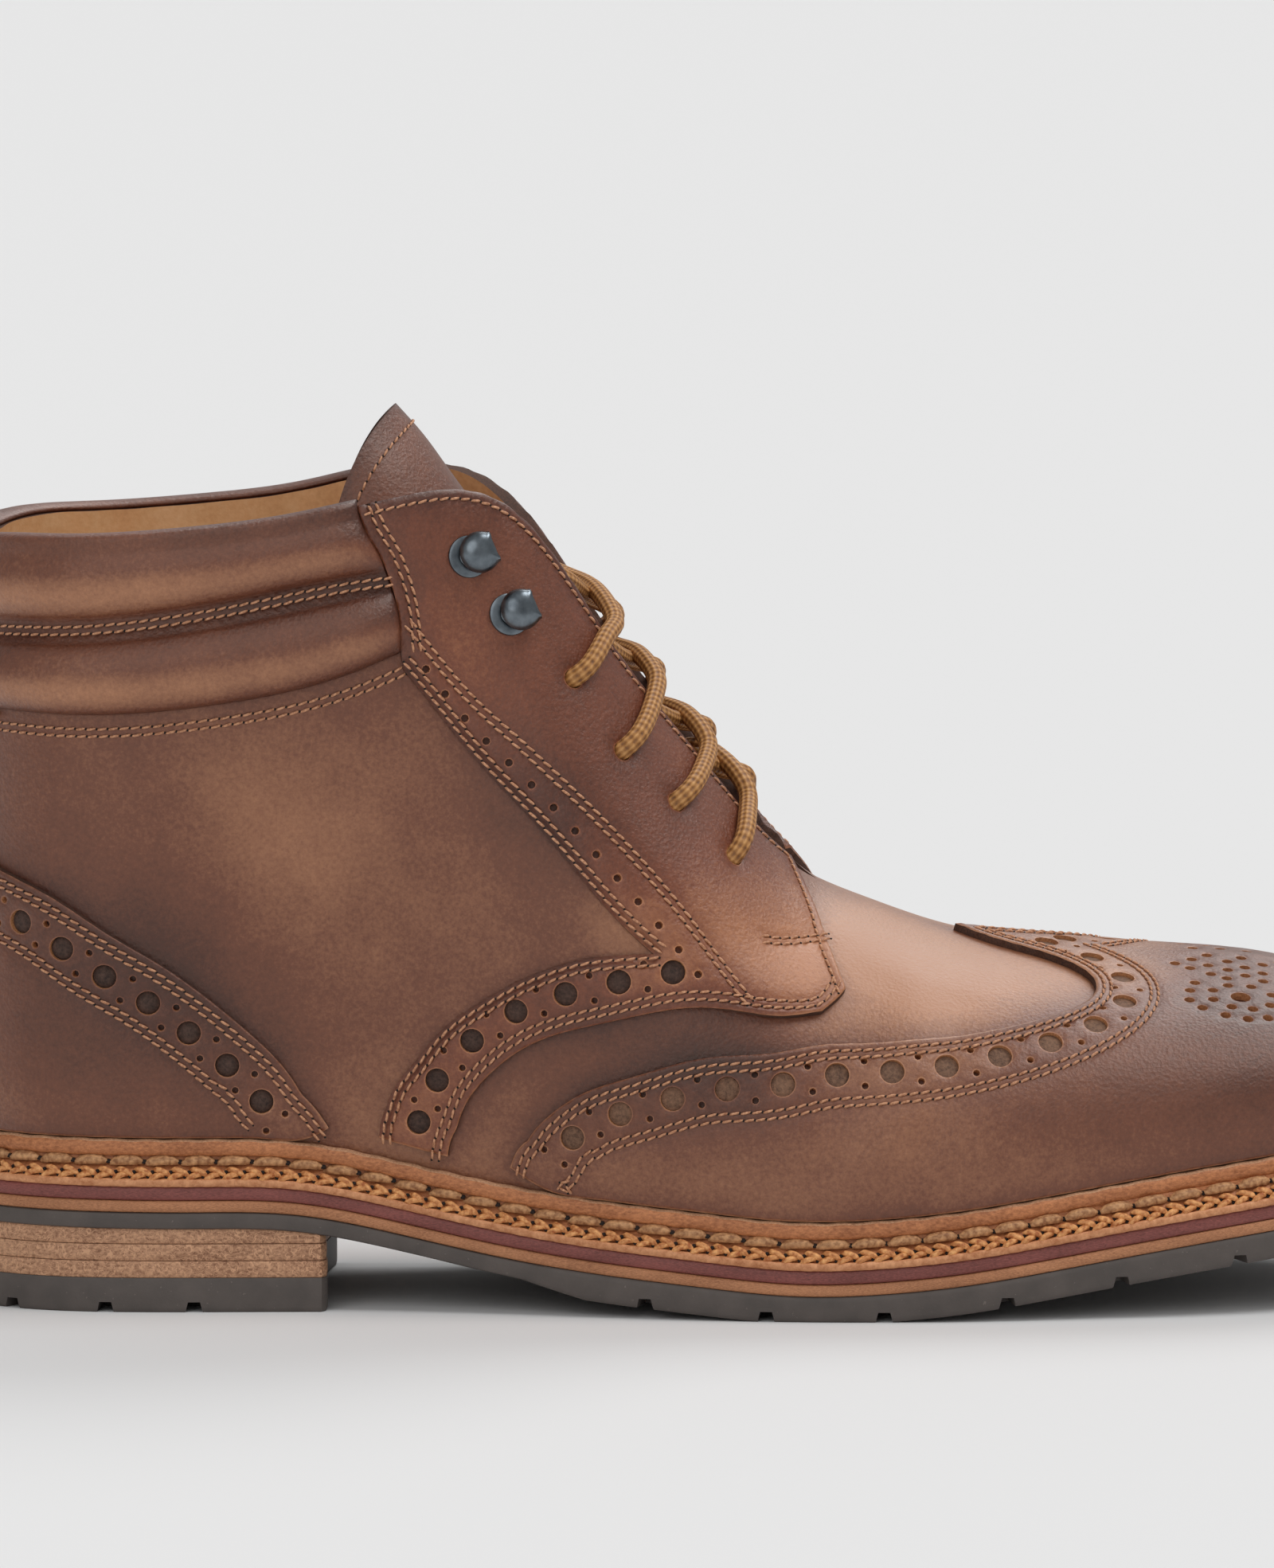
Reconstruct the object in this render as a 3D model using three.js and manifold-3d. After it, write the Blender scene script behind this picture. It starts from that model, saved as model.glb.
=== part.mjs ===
// Right brogue ankle boot with a full storm welt, four lace holes and two speed hooks a side.
// Millimetres, +Z up, toe towards +X, outer (lateral) side towards -Y.
// The origin lies on the floor under the middle of the heel.
import * as THREE from 'three';
import { mergeVertices } from 'three/addons/utils/BufferGeometryUtils.js';
import Module from 'manifold-3d';

const wasm = await Module();
wasm.setup();

// Driving sizes of the last
const LAST_LENGTH = 255; // middle of the heel seat to the middle of the toe
const BALL_WIDTH = 98; // upper across the ball
const SHAFT_HEIGHT = 124.5; // back of the collar over the heel seat
const VAMP_HEIGHT = 66; // ridge of the vamp over the ball
const HEEL_PITCH = 15.4; // heel seat over the ball
const TOE_SPRING = 17.2; // feather line at the toe over the ball

// Driving sizes of the pieces
const UPPER_WALL = 2.2;
const OVERLAY = 1.5; // cap, counter, facing and strap leather
const GAP = 0.3; // between curved pieces
const WELT_WIDTH = 6.8;
const WELT_EDGE = 1.6;
const RIDGE_HEIGHT = 9.2; // storm ridge over the feather line
const RIDGE_WIDTH = 1.6;
const MIDSOLE_RED = 2.4;
const MIDSOLE_NATURAL = 2.1;
const OUTSOLE_FORE = 5.25;
const OUTSOLE_WAIST = 3;
const TREAD_FLAT = 0.85; // how far the tread is flat on the floor
const HEEL_BREAST = 41; // front of the heel block
const BREAST_HOLLOW = 2;
const HEEL_INSET = 0.3; // heel block inside the sole's edge
const TOP_PIECE = 6.8;
const HEEL_LIFTS = 3;
const LIFT_SHARE = 0.43; // each level lift, of the leather stack at the breast; the top one is a wedge
const LIFT_STEP = 0.2; // each lift is this much smaller than the one under it
const NOTCH_WIDTH = 3.4;
const NOTCH_DEPTH = 2;
const NOTCH_REACH = 9; // how far a notch runs in from the edge
const NOTCH_PAST = 4; // how far its cutter stands out past the edge
const FAR = 80; // how far a cutter reaches past what it cuts
const BREAST_HALF = 29.4; // half the width of the hollow in the heel's breast
const MIDSOLE_STEP = 0.1; // each sole layer is this much smaller than the one under it
const INSOLE = 3.2;
const TONGUE = 2.2;
const TONGUE_TIP = 16.6; // tip of the tongue over the top line
const TONGUE_SWAY = 2.2; // the tongue's middle towards the medial side
const COLLAR_SWELL = 2.8; // each padded roll over its seams
const COLLAR_EDGE = 1.3;
const LACE_HOLE = 4.6;
const LACE = 3.8;
const HOOK_BASE = 8.2;
const HOOK_LEAF = 8;
const HOOK_HEIGHT = 4.2;
const HOOK_NECK = 1.5;

const SOLE_STACK = MIDSOLE_RED + MIDSOLE_NATURAL + OUTSOLE_FORE + 3 * GAP;
const LATERAL = -1;
const MEDIAL = 1;
const SIDES = { lateral: LATERAL, medial: MEDIAL };

// Natural cubic through the rows of a table, for each named column.
function rowSpline(keys, rows) {
  const columns = {};
  for (const name of Object.keys(rows[0])) {
    columns[name] = naturalCubic(keys, rows.map((row) => row[name]));
  }
  return (t) => {
    const out = {};
    for (const name in columns) out[name] = columns[name](t);
    return out;
  };
}

function naturalCubic(x, y) {
  const n = x.length;
  const bend = new Array(n).fill(0);
  const work = new Array(n).fill(0);
  for (let i = 1; i < n - 1; i++) {
    const share = (x[i] - x[i - 1]) / (x[i + 1] - x[i - 1]);
    const pivot = share * bend[i - 1] + 2;
    const after = (y[i + 1] - y[i]) / (x[i + 1] - x[i]);
    const before = (y[i] - y[i - 1]) / (x[i] - x[i - 1]);
    bend[i] = (share - 1) / pivot;
    work[i] = ((6 * (after - before)) / (x[i + 1] - x[i - 1]) - share * work[i - 1]) / pivot;
  }
  bend[n - 1] = 0;
  for (let i = n - 2; i >= 0; i--) bend[i] = bend[i] * bend[i + 1] + work[i];
  return (at) => {
    let i = 0;
    while (i < n - 2 && at > x[i + 1]) i++;
    const h = x[i + 1] - x[i];
    const a = (x[i + 1] - at) / h;
    const b = (at - x[i]) / h;
    const curve = ((a ** 3 - a) * bend[i] + (b ** 3 - b) * bend[i + 1]) * (h * h) / 6;
    return a * y[i] + b * y[i + 1] + curve;
  };
}

// Underside of the upper over the floor: shares of the heel pitch and of the toe spring.
const BED_ROWS = [
  { along: -0.16, pitch: 1.005, spring: 0 },
  { along: -0.06, pitch: 1.0, spring: 0 },
  { along: 0.055, pitch: 0.98, spring: 0 },
  { along: 0.133, pitch: 0.95, spring: 0 },
  { along: 0.22, pitch: 0.69, spring: 0 },
  { along: 0.306, pitch: 0.4, spring: 0 },
  { along: 0.376, pitch: 0.24, spring: 0 },
  { along: 0.447, pitch: 0.125, spring: 0 },
  { along: 0.52, pitch: 0.025, spring: 0 },
  { along: 0.588, pitch: 0, spring: 0.047 },
  { along: 0.651, pitch: 0, spring: 0.14 },
  { along: 0.722, pitch: 0, spring: 0.302 },
  { along: 0.808, pitch: 0, spring: 0.512 },
  { along: 0.914, pitch: 0, spring: 0.74 },
  { along: 1.0, pitch: 0, spring: 0.905 },
  { along: 1.09, pitch: 0, spring: 1.06 },
];
const bedRow = rowSpline(BED_ROWS.map((row) => row.along * LAST_LENGTH), BED_ROWS);

function bed(x) {
  const row = bedRow(x);
  return SOLE_STACK - TREAD_FLAT + HEEL_PITCH * row.pitch + TOE_SPRING * row.spring;
}

// Half sections of the upper from the heel round to the toe. Each stands on the spine at along (share of
// the last) and sway (share of the ball width) and faces turn degrees from +X. foot, belly and rim with L
// (lateral) or M (medial) are its reach at the feather line, at its widest and at the top, in shares of the
// ball width. Plain belly is the height of the widest in shares of the vamp height. shaft and vamp give the
// top in shares of their own heights, rise lifts the medial top in shares of the shaft, and lean is the
// slope at the top in degrees. wall and round say how far the curve keeps upright and how far it bows to
// the top. margin is the share of the full welt width that stands out there.
const LAST_ROWS = [
  {
    along: 0, sway: 0, turn: 180, footL: 0.316, footM: 0.316, belly: 0.34,
    bellyL: 0.342, bellyM: 0.342, shaft: 1.006, vamp: 0, rise: 0, rimL: 0.311,
    rimM: 0.311, leanL: 86, leanM: 86, wall: 0.38, round: 0.42, margin: 0.92,
  },
  {
    along: 0, sway: 0, turn: 155, footL: 0.316, footM: 0.316, belly: 0.326,
    bellyL: 0.342, bellyM: 0.342, shaft: 1.008, vamp: 0, rise: 0.007, rimL: 0.321,
    rimM: 0.321, leanL: 86, leanM: 86, wall: 0.38, round: 0.42, margin: 0.92,
  },
  {
    along: 0, sway: 0, turn: 128, footL: 0.314, footM: 0.314, belly: 0.312,
    bellyL: 0.342, bellyM: 0.342, shaft: 1.015, vamp: 0, rise: 0.014, rimL: 0.342,
    rimM: 0.342, leanL: 86, leanM: 86, wall: 0.38, round: 0.42, margin: 0.92,
  },
  {
    along: 0.008, sway: 0, turn: 105, footL: 0.312, footM: 0.312, belly: 0.3,
    bellyL: 0.342, bellyM: 0.34, shaft: 1.019, vamp: 0, rise: 0.014, rimL: 0.367,
    rimM: 0.367, leanL: 86, leanM: 86, wall: 0.38, round: 0.42, margin: 0.92,
  },
  {
    along: 0.055, sway: 0, turn: 90, footL: 0.312, footM: 0.306, belly: 0.286,
    bellyL: 0.342, bellyM: 0.337, shaft: 1.032, vamp: 0, rise: 0.013, rimL: 0.383,
    rimM: 0.383, leanL: 86, leanM: 86, wall: 0.38, round: 0.42, margin: 0.92,
  },
  {
    along: 0.133, sway: 0.005, turn: 90, footL: 0.314, footM: 0.291, belly: 0.285,
    bellyL: 0.345, bellyM: 0.321, shaft: 1.056, vamp: 0, rise: 0.013, rimL: 0.378,
    rimM: 0.378, leanL: 85, leanM: 85, wall: 0.38, round: 0.42, margin: 0.9,
  },
  {
    along: 0.22, sway: 0.01, turn: 90, footL: 0.327, footM: 0.27, belly: 0.282,
    bellyL: 0.357, bellyM: 0.306, shaft: 1.126, vamp: 0, rise: 0.014, rimL: 0.347,
    rimM: 0.342, leanL: 82, leanM: 82, wall: 0.38, round: 0.42, margin: 0.86,
  },
  {
    along: 0.275, sway: 0.012, turn: 90, footL: 0.347, footM: 0.273, belly: 0.276,
    bellyL: 0.378, bellyM: 0.309, shaft: 1.153, vamp: 0, rise: -0.003, rimL: 0.301,
    rimM: 0.296, leanL: 78, leanM: 78, wall: 0.39, round: 0.42, margin: 0.86,
  },
  {
    along: 0.306, sway: 0.015, turn: 90, footL: 0.362, footM: 0.282, belly: 0.285,
    bellyL: 0.392, bellyM: 0.318, shaft: 0.942, vamp: 0.35, rise: -0.015, rimL: 0.265,
    rimM: 0.255, leanL: 71, leanM: 71, wall: 0.4, round: 0.42, margin: 0.88,
  },
  {
    along: 0.376, sway: 0.02, turn: 90, footL: 0.403, footM: 0.321, belly: 0.27,
    bellyL: 0.434, bellyM: 0.357, shaft: 0.588, vamp: 0.662, rise: -0.013, rimL: 0.194,
    rimM: 0.184, leanL: 52, leanM: 52, wall: 0.42, round: 0.44, margin: 0.94,
  },
  {
    along: 0.447, sway: 0.026, turn: 90, footL: 0.444, footM: 0.372, belly: 0.27,
    bellyL: 0.474, bellyM: 0.408, shaft: 0.288, vamp: 0.889, rise: 0.006, rimL: 0.128,
    rimM: 0.122, leanL: 36, leanM: 34, wall: 0.44, round: 0.48, margin: 1,
  },
  {
    along: 0.502, sway: 0.031, turn: 90, footL: 0.467, footM: 0.405, belly: 0.258,
    bellyL: 0.5, bellyM: 0.441, shaft: 0.096, vamp: 1.014, rise: 0.009, rimL: 0.071,
    rimM: 0.066, leanL: 22, leanM: 18, wall: 0.47, round: 0.51, margin: 1,
  },
  {
    along: 0.541, sway: 0.034, turn: 90, footL: 0.478, footM: 0.427, belly: 0.256,
    bellyL: 0.511, bellyM: 0.461, shaft: 0, vamp: 1.083, rise: 0, rimL: 0,
    rimM: 0, leanL: 8, leanM: -6, wall: 0.5, round: 0.54, margin: 1,
  },
  {
    along: 0.588, sway: 0.037, turn: 90, footL: 0.483, footM: 0.443, belly: 0.245,
    bellyL: 0.515, bellyM: 0.478, shaft: 0, vamp: 1.0, rise: 0, rimL: 0,
    rimM: 0, leanL: 6, leanM: -6, wall: 0.52, round: 0.56, margin: 1,
  },
  {
    along: 0.651, sway: 0.041, turn: 90, footL: 0.483, footM: 0.455, belly: 0.25,
    bellyL: 0.51, bellyM: 0.485, shaft: 0, vamp: 0.892, rise: 0, rimL: 0,
    rimM: 0, leanL: 8, leanM: -8, wall: 0.54, round: 0.58, margin: 1,
  },
  {
    along: 0.722, sway: 0.046, turn: 90, footL: 0.464, footM: 0.447, belly: 0.255,
    bellyL: 0.49, bellyM: 0.474, shaft: 0, vamp: 0.803, rise: 0, rimL: 0,
    rimM: 0, leanL: 10, leanM: -10, wall: 0.56, round: 0.58, margin: 1,
  },
  {
    along: 0.792, sway: 0.051, turn: 84, footL: 0.434, footM: 0.431, belly: 0.26,
    bellyL: 0.454, bellyM: 0.454, shaft: 0, vamp: 0.712, rise: 0, rimL: 0,
    rimM: 0, leanL: 12, leanM: -12, wall: 0.56, round: 0.58, margin: 1,
  },
  {
    along: 0.863, sway: 0.056, turn: 70, footL: 0.383, footM: 0.393, belly: 0.258,
    bellyL: 0.403, bellyM: 0.413, shaft: 0, vamp: 0.642, rise: 0, rimL: 0,
    rimM: 0, leanL: 14, leanM: -4, wall: 0.56, round: 0.58, margin: 1,
  },
  {
    along: 0.925, sway: 0.061, turn: 50, footL: 0.291, footM: 0.311, belly: 0.242,
    bellyL: 0.311, bellyM: 0.332, shaft: 0, vamp: 0.552, rise: 0, rimL: 0,
    rimM: 0, leanL: 20, leanM: 10, wall: 0.54, round: 0.56, margin: 1,
  },
  {
    along: 0.973, sway: 0.066, turn: 27, footL: 0.194, footM: 0.204, belly: 0.227,
    bellyL: 0.214, bellyM: 0.224, shaft: 0, vamp: 0.436, rise: 0, rimL: 0,
    rimM: 0, leanL: 32, leanM: 26, wall: 0.54, round: 0.54, margin: 1,
  },
  {
    along: 1.0, sway: 0.071, turn: 0, footL: 0.128, footM: 0.128, belly: 0.215,
    bellyL: 0.143, bellyM: 0.143, shaft: 0, vamp: 0.348, rise: 0, rimL: 0,
    rimM: 0, leanL: 42, leanM: 42, wall: 0.5, round: 0.5, margin: 1,
  },
];
const THROAT_ROW = 12; // the row where the throat has closed to the ridge
const BELLY_SHARE = 0.28; // share of a half section below its widest

// The rows lie along the lateral feather line, so t runs from 0 at the back of the heel to 1 at the toe.
const ROW_T = (() => {
  const plan = LAST_ROWS.map((row) => {
    const turn = THREE.MathUtils.degToRad(row.turn);
    const reach = row.footL * BALL_WIDTH;
    return new THREE.Vector2(
      row.along * LAST_LENGTH + reach * Math.cos(turn),
      row.sway * BALL_WIDTH - reach * Math.sin(turn),
    );
  });
  const run = [0];
  for (let i = 1; i < plan.length; i++) run.push(run[i - 1] + plan[i].distanceTo(plan[i - 1]));
  return run.map((r) => r / run[run.length - 1]);
})();
const lastRow = rowSpline(ROW_T, LAST_ROWS);
const THROAT_T = ROW_T[THROAT_ROW];

const bezier = (a, b, c, d, u) =>
  (1 - u) ** 3 * a + 3 * (1 - u) ** 2 * u * b + 3 * (1 - u) * u * u * c + u ** 3 * d;

// A point of the upper's outer face: t along the last, v from the feather line (0) to the top (1).
function face(t, v, side) {
  const row = lastRow(t);
  const [foot, belly, rim, lean] =
    side === LATERAL
      ? [row.footL, row.bellyL, row.rimL, row.leanL]
      : [row.footM, row.bellyM, row.rimM, row.leanM];
  const turn = THREE.MathUtils.degToRad(row.turn);
  const slope = THREE.MathUtils.degToRad(lean);
  const r0 = foot * BALL_WIDTH;
  const r1 = belly * BALL_WIDTH;
  const open = t < THROAT_T;
  const r2 = open ? rim * BALL_WIDTH : 0;
  const z0 = bed(row.along * LAST_LENGTH + r0 * Math.cos(turn));
  const z1 = z0 + row.belly * VAMP_HEIGHT;
  const lift = open && side === MEDIAL ? row.rise : 0;
  const spine = bed(row.along * LAST_LENGTH + ((row.footL + row.footM) / 2) * BALL_WIDTH * Math.cos(turn));
  const z2 = spine + (row.shaft + lift) * SHAFT_HEIGHT + row.vamp * VAMP_HEIGHT;
  let reach;
  let z;
  if (v < BELLY_SHARE) {
    const u = v / BELLY_SHARE;
    reach = bezier(r0, r0 + 0.75 * (r1 - r0), r1, r1, u);
    z = bezier(z0, z0 + 0.35 * (z1 - z0), z1 - 0.4 * (z1 - z0), z1, u);
  } else {
    const u = (v - BELLY_SHARE) / (1 - BELLY_SHARE);
    const arm = row.round * ((r1 - r2) * Math.cos(slope) + (z2 - z1) * Math.sin(slope));
    reach = bezier(r1, r1, r2 + arm * Math.cos(slope), r2, u);
    z = bezier(z1, z1 + row.wall * (z2 - z1), z2 - arm * Math.sin(slope), z2, u);
  }
  return new THREE.Vector3(
    row.along * LAST_LENGTH + reach * Math.cos(turn),
    row.sway * BALL_WIDTH + side * reach * Math.sin(turn),
    z,
  );
}

function oneSideNormal(t, v, side) {
  const step = 1e-4;
  const alongT = face(Math.min(t + step, 1), v, side).sub(face(Math.max(t - step, 0), v, side));
  const alongV = face(t, Math.min(v + step, 1), side).sub(face(t, Math.max(v - step, 0), side));
  return alongT.cross(alongV).multiplyScalar(-side).normalize();
}

// The outward normal, shared by both sides where they meet at the heel, the toe and the ridge.
function normal(t, v, side) {
  const n = oneSideNormal(t, v, side);
  const meets = t < 1e-6 || t > 1 - 1e-6 || (v > 1 - 1e-6 && t > THROAT_T - 1e-6);
  if (meets) n.add(oneSideNormal(t, v, -side)).normalize();
  return n;
}

function skin(t, v, side, off) {
  return face(t, v, side).addScaledVector(normal(t, v, side), off);
}

// The share v at which the outer face stands h over the feather line.
function shareAtHeight(t, side, h) {
  const goal = face(t, 0, side).z + h;
  let low = 0;
  let high = 1;
  for (let i = 0; i < 30; i++) {
    const mid = (low + high) / 2;
    if (face(t, mid, side).z < goal) low = mid;
    else high = mid;
  }
  return low;
}

// Grid lines of the upper: its rows, with one more between two rows that lie far apart or turn round the
// heel or toe, and bands from the feather line to the top.
const WIDE_STEP = 0.05;
const WIDE_TURN = 15;
const T_LINES = ROW_T.flatMap((t, i) => {
  if (!i) return [t];
  const turns = Math.abs(LAST_ROWS[i].turn - LAST_ROWS[i - 1].turn);
  const wide = t - ROW_T[i - 1] > WIDE_STEP || turns >= WIDE_TURN;
  return wide ? [(ROW_T[i - 1] + t) / 2, t] : [t];
});
const V_LINES = [0, 0.14, 0.28, 0.43, 0.57, 0.7, 0.82, 0.91, 1];

function closedGeometry(positions, triangles) {
  const loose = new THREE.BufferGeometry();
  loose.setAttribute('position', new THREE.Float32BufferAttribute(positions, 3));
  loose.setIndex(triangles);
  const merged = mergeVertices(loose, 1e-3);
  const kept = [];
  const index = merged.index.array;
  for (let i = 0; i < index.length; i += 3) {
    const [a, b, c] = [index[i], index[i + 1], index[i + 2]];
    if (a !== b && b !== c && a !== c) kept.push(a, b, c);
  }
  merged.setIndex(kept);
  return merged;
}

function toSolid(geometry) {
  const bare = new THREE.BufferGeometry();
  bare.setAttribute('position', geometry.getAttribute('position').clone());
  if (geometry.index) bare.setIndex(geometry.index);
  const merged = mergeVertices(bare, 1e-4);
  const mesh = new wasm.Mesh({
    numProp: 3,
    vertProperties: new Float32Array(merged.attributes.position.array),
    triVerts: new Uint32Array(merged.index.array),
  });
  return new wasm.Manifold(mesh);
}

function toGeometry(solid) {
  const mesh = solid.getMesh();
  const geometry = new THREE.BufferGeometry();
  geometry.setAttribute('position', new THREE.BufferAttribute(new Float32Array(mesh.vertProperties), 3));
  geometry.setIndex(new THREE.BufferAttribute(new Uint32Array(mesh.triVerts), 1));
  return geometry;
}

// One closed surface from a grid of points: rows of equal length, both faces and the walls round them.
function shellGeometry(outerRows, innerRows) {
  const positions = [];
  const triangles = [];
  const m = outerRows[0].length;
  for (const p of [outerRows, innerRows].flat(2)) positions.push(...p);
  const at = (layer, i, j) => (layer * outerRows.length + i) * m + j;
  const quad = (a, b, c, d) => triangles.push(a, b, c, a, c, d);
  const n = outerRows.length - 1;
  for (let i = 0; i < n; i++) {
    for (let j = 0; j < m - 1; j++) {
      quad(at(0, i, j), at(0, i + 1, j), at(0, i + 1, j + 1), at(0, i, j + 1));
      quad(at(1, i, j), at(1, i, j + 1), at(1, i + 1, j + 1), at(1, i + 1, j));
    }
    quad(at(1, i, 0), at(1, i + 1, 0), at(0, i + 1, 0), at(0, i, 0));
    quad(at(0, i, m - 1), at(0, i + 1, m - 1), at(1, i + 1, m - 1), at(1, i, m - 1));
  }
  for (let j = 0; j < m - 1; j++) {
    quad(at(0, 0, j), at(0, 0, j + 1), at(1, 0, j + 1), at(1, 0, j));
    quad(at(0, n, j), at(1, n, j), at(1, n, j + 1), at(0, n, j + 1));
  }
  return closedGeometry(positions, triangles);
}

// The upper's wall: outer face at off 0 and lining face inside it, open underneath, at the collar and throat.
function upperGeometry() {
  const positions = [];
  const triangles = [];
  const index = new Map();
  const vertex = (i, j, side, layer) => {
    const t = T_LINES[i];
    const v = V_LINES[j];
    const shared = i === 0 || i === T_LINES.length - 1 || (j === V_LINES.length - 1 && t > THROAT_T - 1e-6);
    const key = [i, j, shared ? 0 : side, layer].join();
    if (!index.has(key)) {
      index.set(key, positions.length / 3);
      positions.push(...skin(t, v, side, -layer * UPPER_WALL));
    }
    return index.get(key);
  };
  const quad = (side, a, b, c, d) => {
    if (side === LATERAL) triangles.push(a, b, c, a, c, d);
    else triangles.push(a, c, b, a, d, c);
  };
  const last = V_LINES.length - 1;
  for (const side of [LATERAL, MEDIAL]) {
    for (let i = 0; i < T_LINES.length - 1; i++) {
      for (let j = 0; j < last; j++) {
        const [a, b, c, d] = [[i, j], [i + 1, j], [i + 1, j + 1], [i, j + 1]];
        quad(side, ...[a, b, c, d].map((p) => vertex(...p, side, 0)));
        quad(side, ...[a, d, c, b].map((p) => vertex(...p, side, 1)));
      }
      const [footA, footB] = [vertex(i, 0, side, 1), vertex(i + 1, 0, side, 1)];
      quad(side, footA, footB, vertex(i + 1, 0, side, 0), vertex(i, 0, side, 0));
      if (T_LINES[i] < THROAT_T - 1e-6) {
        const [outerA, outerB] = [vertex(i, last, side, 0), vertex(i + 1, last, side, 0)];
        const [innerA, innerB] = [vertex(i, last, side, 1), vertex(i + 1, last, side, 1)];
        quad(side, outerA, outerB, innerB, innerA);
      }
    }
  }
  return closedGeometry(positions, triangles);
}

// Panels are cut flat in the sheet of t and v, then laid on the upper facet by facet.
const SHEET_T = 330;
const SHEET_V = 130;

function flatSheet(tLines, vLines) {
  const positions = [];
  const triangles = [];
  for (const w of [1, 0]) {
    for (const t of tLines) {
      for (const v of vLines) positions.push(t * SHEET_T, v * SHEET_V, w);
    }
  }
  const m = vLines.length;
  const n = tLines.length;
  const at = (layer, i, j) => (layer * n + i) * m + j;
  const quad = (a, b, c, d) => triangles.push(a, b, c, a, c, d);
  for (let i = 0; i < n - 1; i++) {
    for (let j = 0; j < m - 1; j++) {
      quad(at(0, i, j), at(0, i + 1, j), at(0, i + 1, j + 1), at(0, i, j + 1));
      triangles.push(at(1, i, j), at(1, i + 1, j + 1), at(1, i + 1, j));
      triangles.push(at(1, i, j), at(1, i, j + 1), at(1, i + 1, j + 1));
    }
    quad(at(1, i, 0), at(1, i + 1, 0), at(0, i + 1, 0), at(0, i, 0));
    quad(at(0, i, m - 1), at(0, i + 1, m - 1), at(1, i + 1, m - 1), at(1, i, m - 1));
  }
  for (let j = 0; j < m - 1; j++) {
    quad(at(0, 0, j), at(0, 0, j + 1), at(1, 0, j + 1), at(1, 0, j));
    quad(at(0, n - 1, j), at(1, n - 1, j), at(1, n - 1, j + 1), at(0, n - 1, j + 1));
  }
  const mesh = new wasm.Mesh({
    numProp: 3,
    vertProperties: new Float32Array(positions),
    triVerts: new Uint32Array(triangles),
    faceID: new Uint32Array(triangles.length / 3).map((_, k) => k),
  });
  return new wasm.Manifold(mesh);
}

function outlinePrism(outline) {
  const shape = new THREE.Shape(outline.map(([t, v]) => new THREE.Vector2(t * SHEET_T, v * SHEET_V)));
  const prism = new THREE.ExtrudeGeometry(shape, { depth: 3, bevelEnabled: false });
  prism.translate(0, 0, -1);
  return toSolid(prism);
}

// Lays a cut sheet on one side of the upper, between its inner and outer lifts.
function layOn(sheet, tLines, vLines, side, inner, outer, seams) {
  const grids = [inner, outer].map((lift) =>
    tLines.map((t) => vLines.map((v) => skin(t, v, side, lift(t, v)))),
  );
  const cell = (lines, at) => {
    let i = 0;
    while (i < lines.length - 2 && at > lines[i + 1]) i++;
    return [i, THREE.MathUtils.clamp((at - lines[i]) / (lines[i + 1] - lines[i]), 0, 1)];
  };
  const mesh = sheet.getMesh();
  const flat = mesh.vertProperties;
  const positions = [];
  const onSeam = [];
  for (let k = 0; k < flat.length; k += 3) {
    const t = flat[k] / SHEET_T;
    const v = flat[k + 1] / SHEET_V;
    const [i, a] = cell(tLines, t);
    const [j, b] = cell(vLines, v);
    const grid = grids[flat[k + 2] > 0.5 ? 1 : 0];
    const corner = grid[i][j];
    const across = grid[i + 1][j + 1].clone().sub(corner).multiplyScalar(Math.min(a, b));
    const beside = (a >= b ? grid[i + 1][j] : grid[i][j + 1]).clone().sub(corner);
    positions.push(...corner.clone().add(across).addScaledVector(beside, Math.abs(a - b)));
    onSeam.push({
      heel: t < 1e-5,
      toe: t > 1 - 1e-5,
      ridge: v > 1 - 1e-5,
    });
  }
  const triangles = [];
  for (let k = 0; k < mesh.triVerts.length; k += 3) {
    const [a, b, c] = [mesh.triVerts[k], mesh.triVerts[k + 1], mesh.triVerts[k + 2]];
    if (seams.some((seam) => onSeam[a][seam] && onSeam[b][seam] && onSeam[c][seam])) continue;
    if (side === LATERAL) triangles.push(a, b, c);
    else triangles.push(a, c, b);
  }
  return { positions, triangles };
}

// An overlay panel on one side, or on both sides joined along the named seams.
function panelGeometry({ outline, sides, seams = [], outer, vLines = V_LINES, from = 0, to = 1 }) {
  const lines = T_LINES.filter((t) => t >= from - 1e-9 && t <= to + 1e-9);
  const inner = () => GAP;
  const lift = outer ?? (() => GAP + OVERLAY);
  const positions = [];
  const triangles = [];
  for (const side of sides) {
    const sheet = flatSheet(lines, vLines).intersect(outlinePrism(outline(side)));
    const laid = layOn(sheet, lines, vLines, side, inner, lift, seams);
    const base = positions.length / 3;
    positions.push(...laid.positions);
    for (const k of laid.triangles) triangles.push(base + k);
  }
  return closedGeometry(positions, triangles);
}

// Smooth run through chosen points of an outline.
function smooth(points, perSpan = 1) {
  const curve = new THREE.SplineCurve(points.map(([t, v]) => new THREE.Vector2(t, v)));
  return curve.getPoints((points.length - 1) * perSpan).map((p) => [p.x, p.y]);
}

// The run just over the storm ridge, from one station to another.
function overRidge(from, to, side, steps = 8) {
  const run = [];
  for (let i = 0; i <= steps; i++) {
    const t = from + ((to - from) * i) / steps;
    const inside = THREE.MathUtils.clamp(t, 0, 1);
    run.push([t, shareAtHeight(inside, side, RIDGE_HEIGHT + 2 * GAP)]);
  }
  return run;
}

const PAST = 0.03; // how far an outline runs past the sheet's own edge

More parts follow.
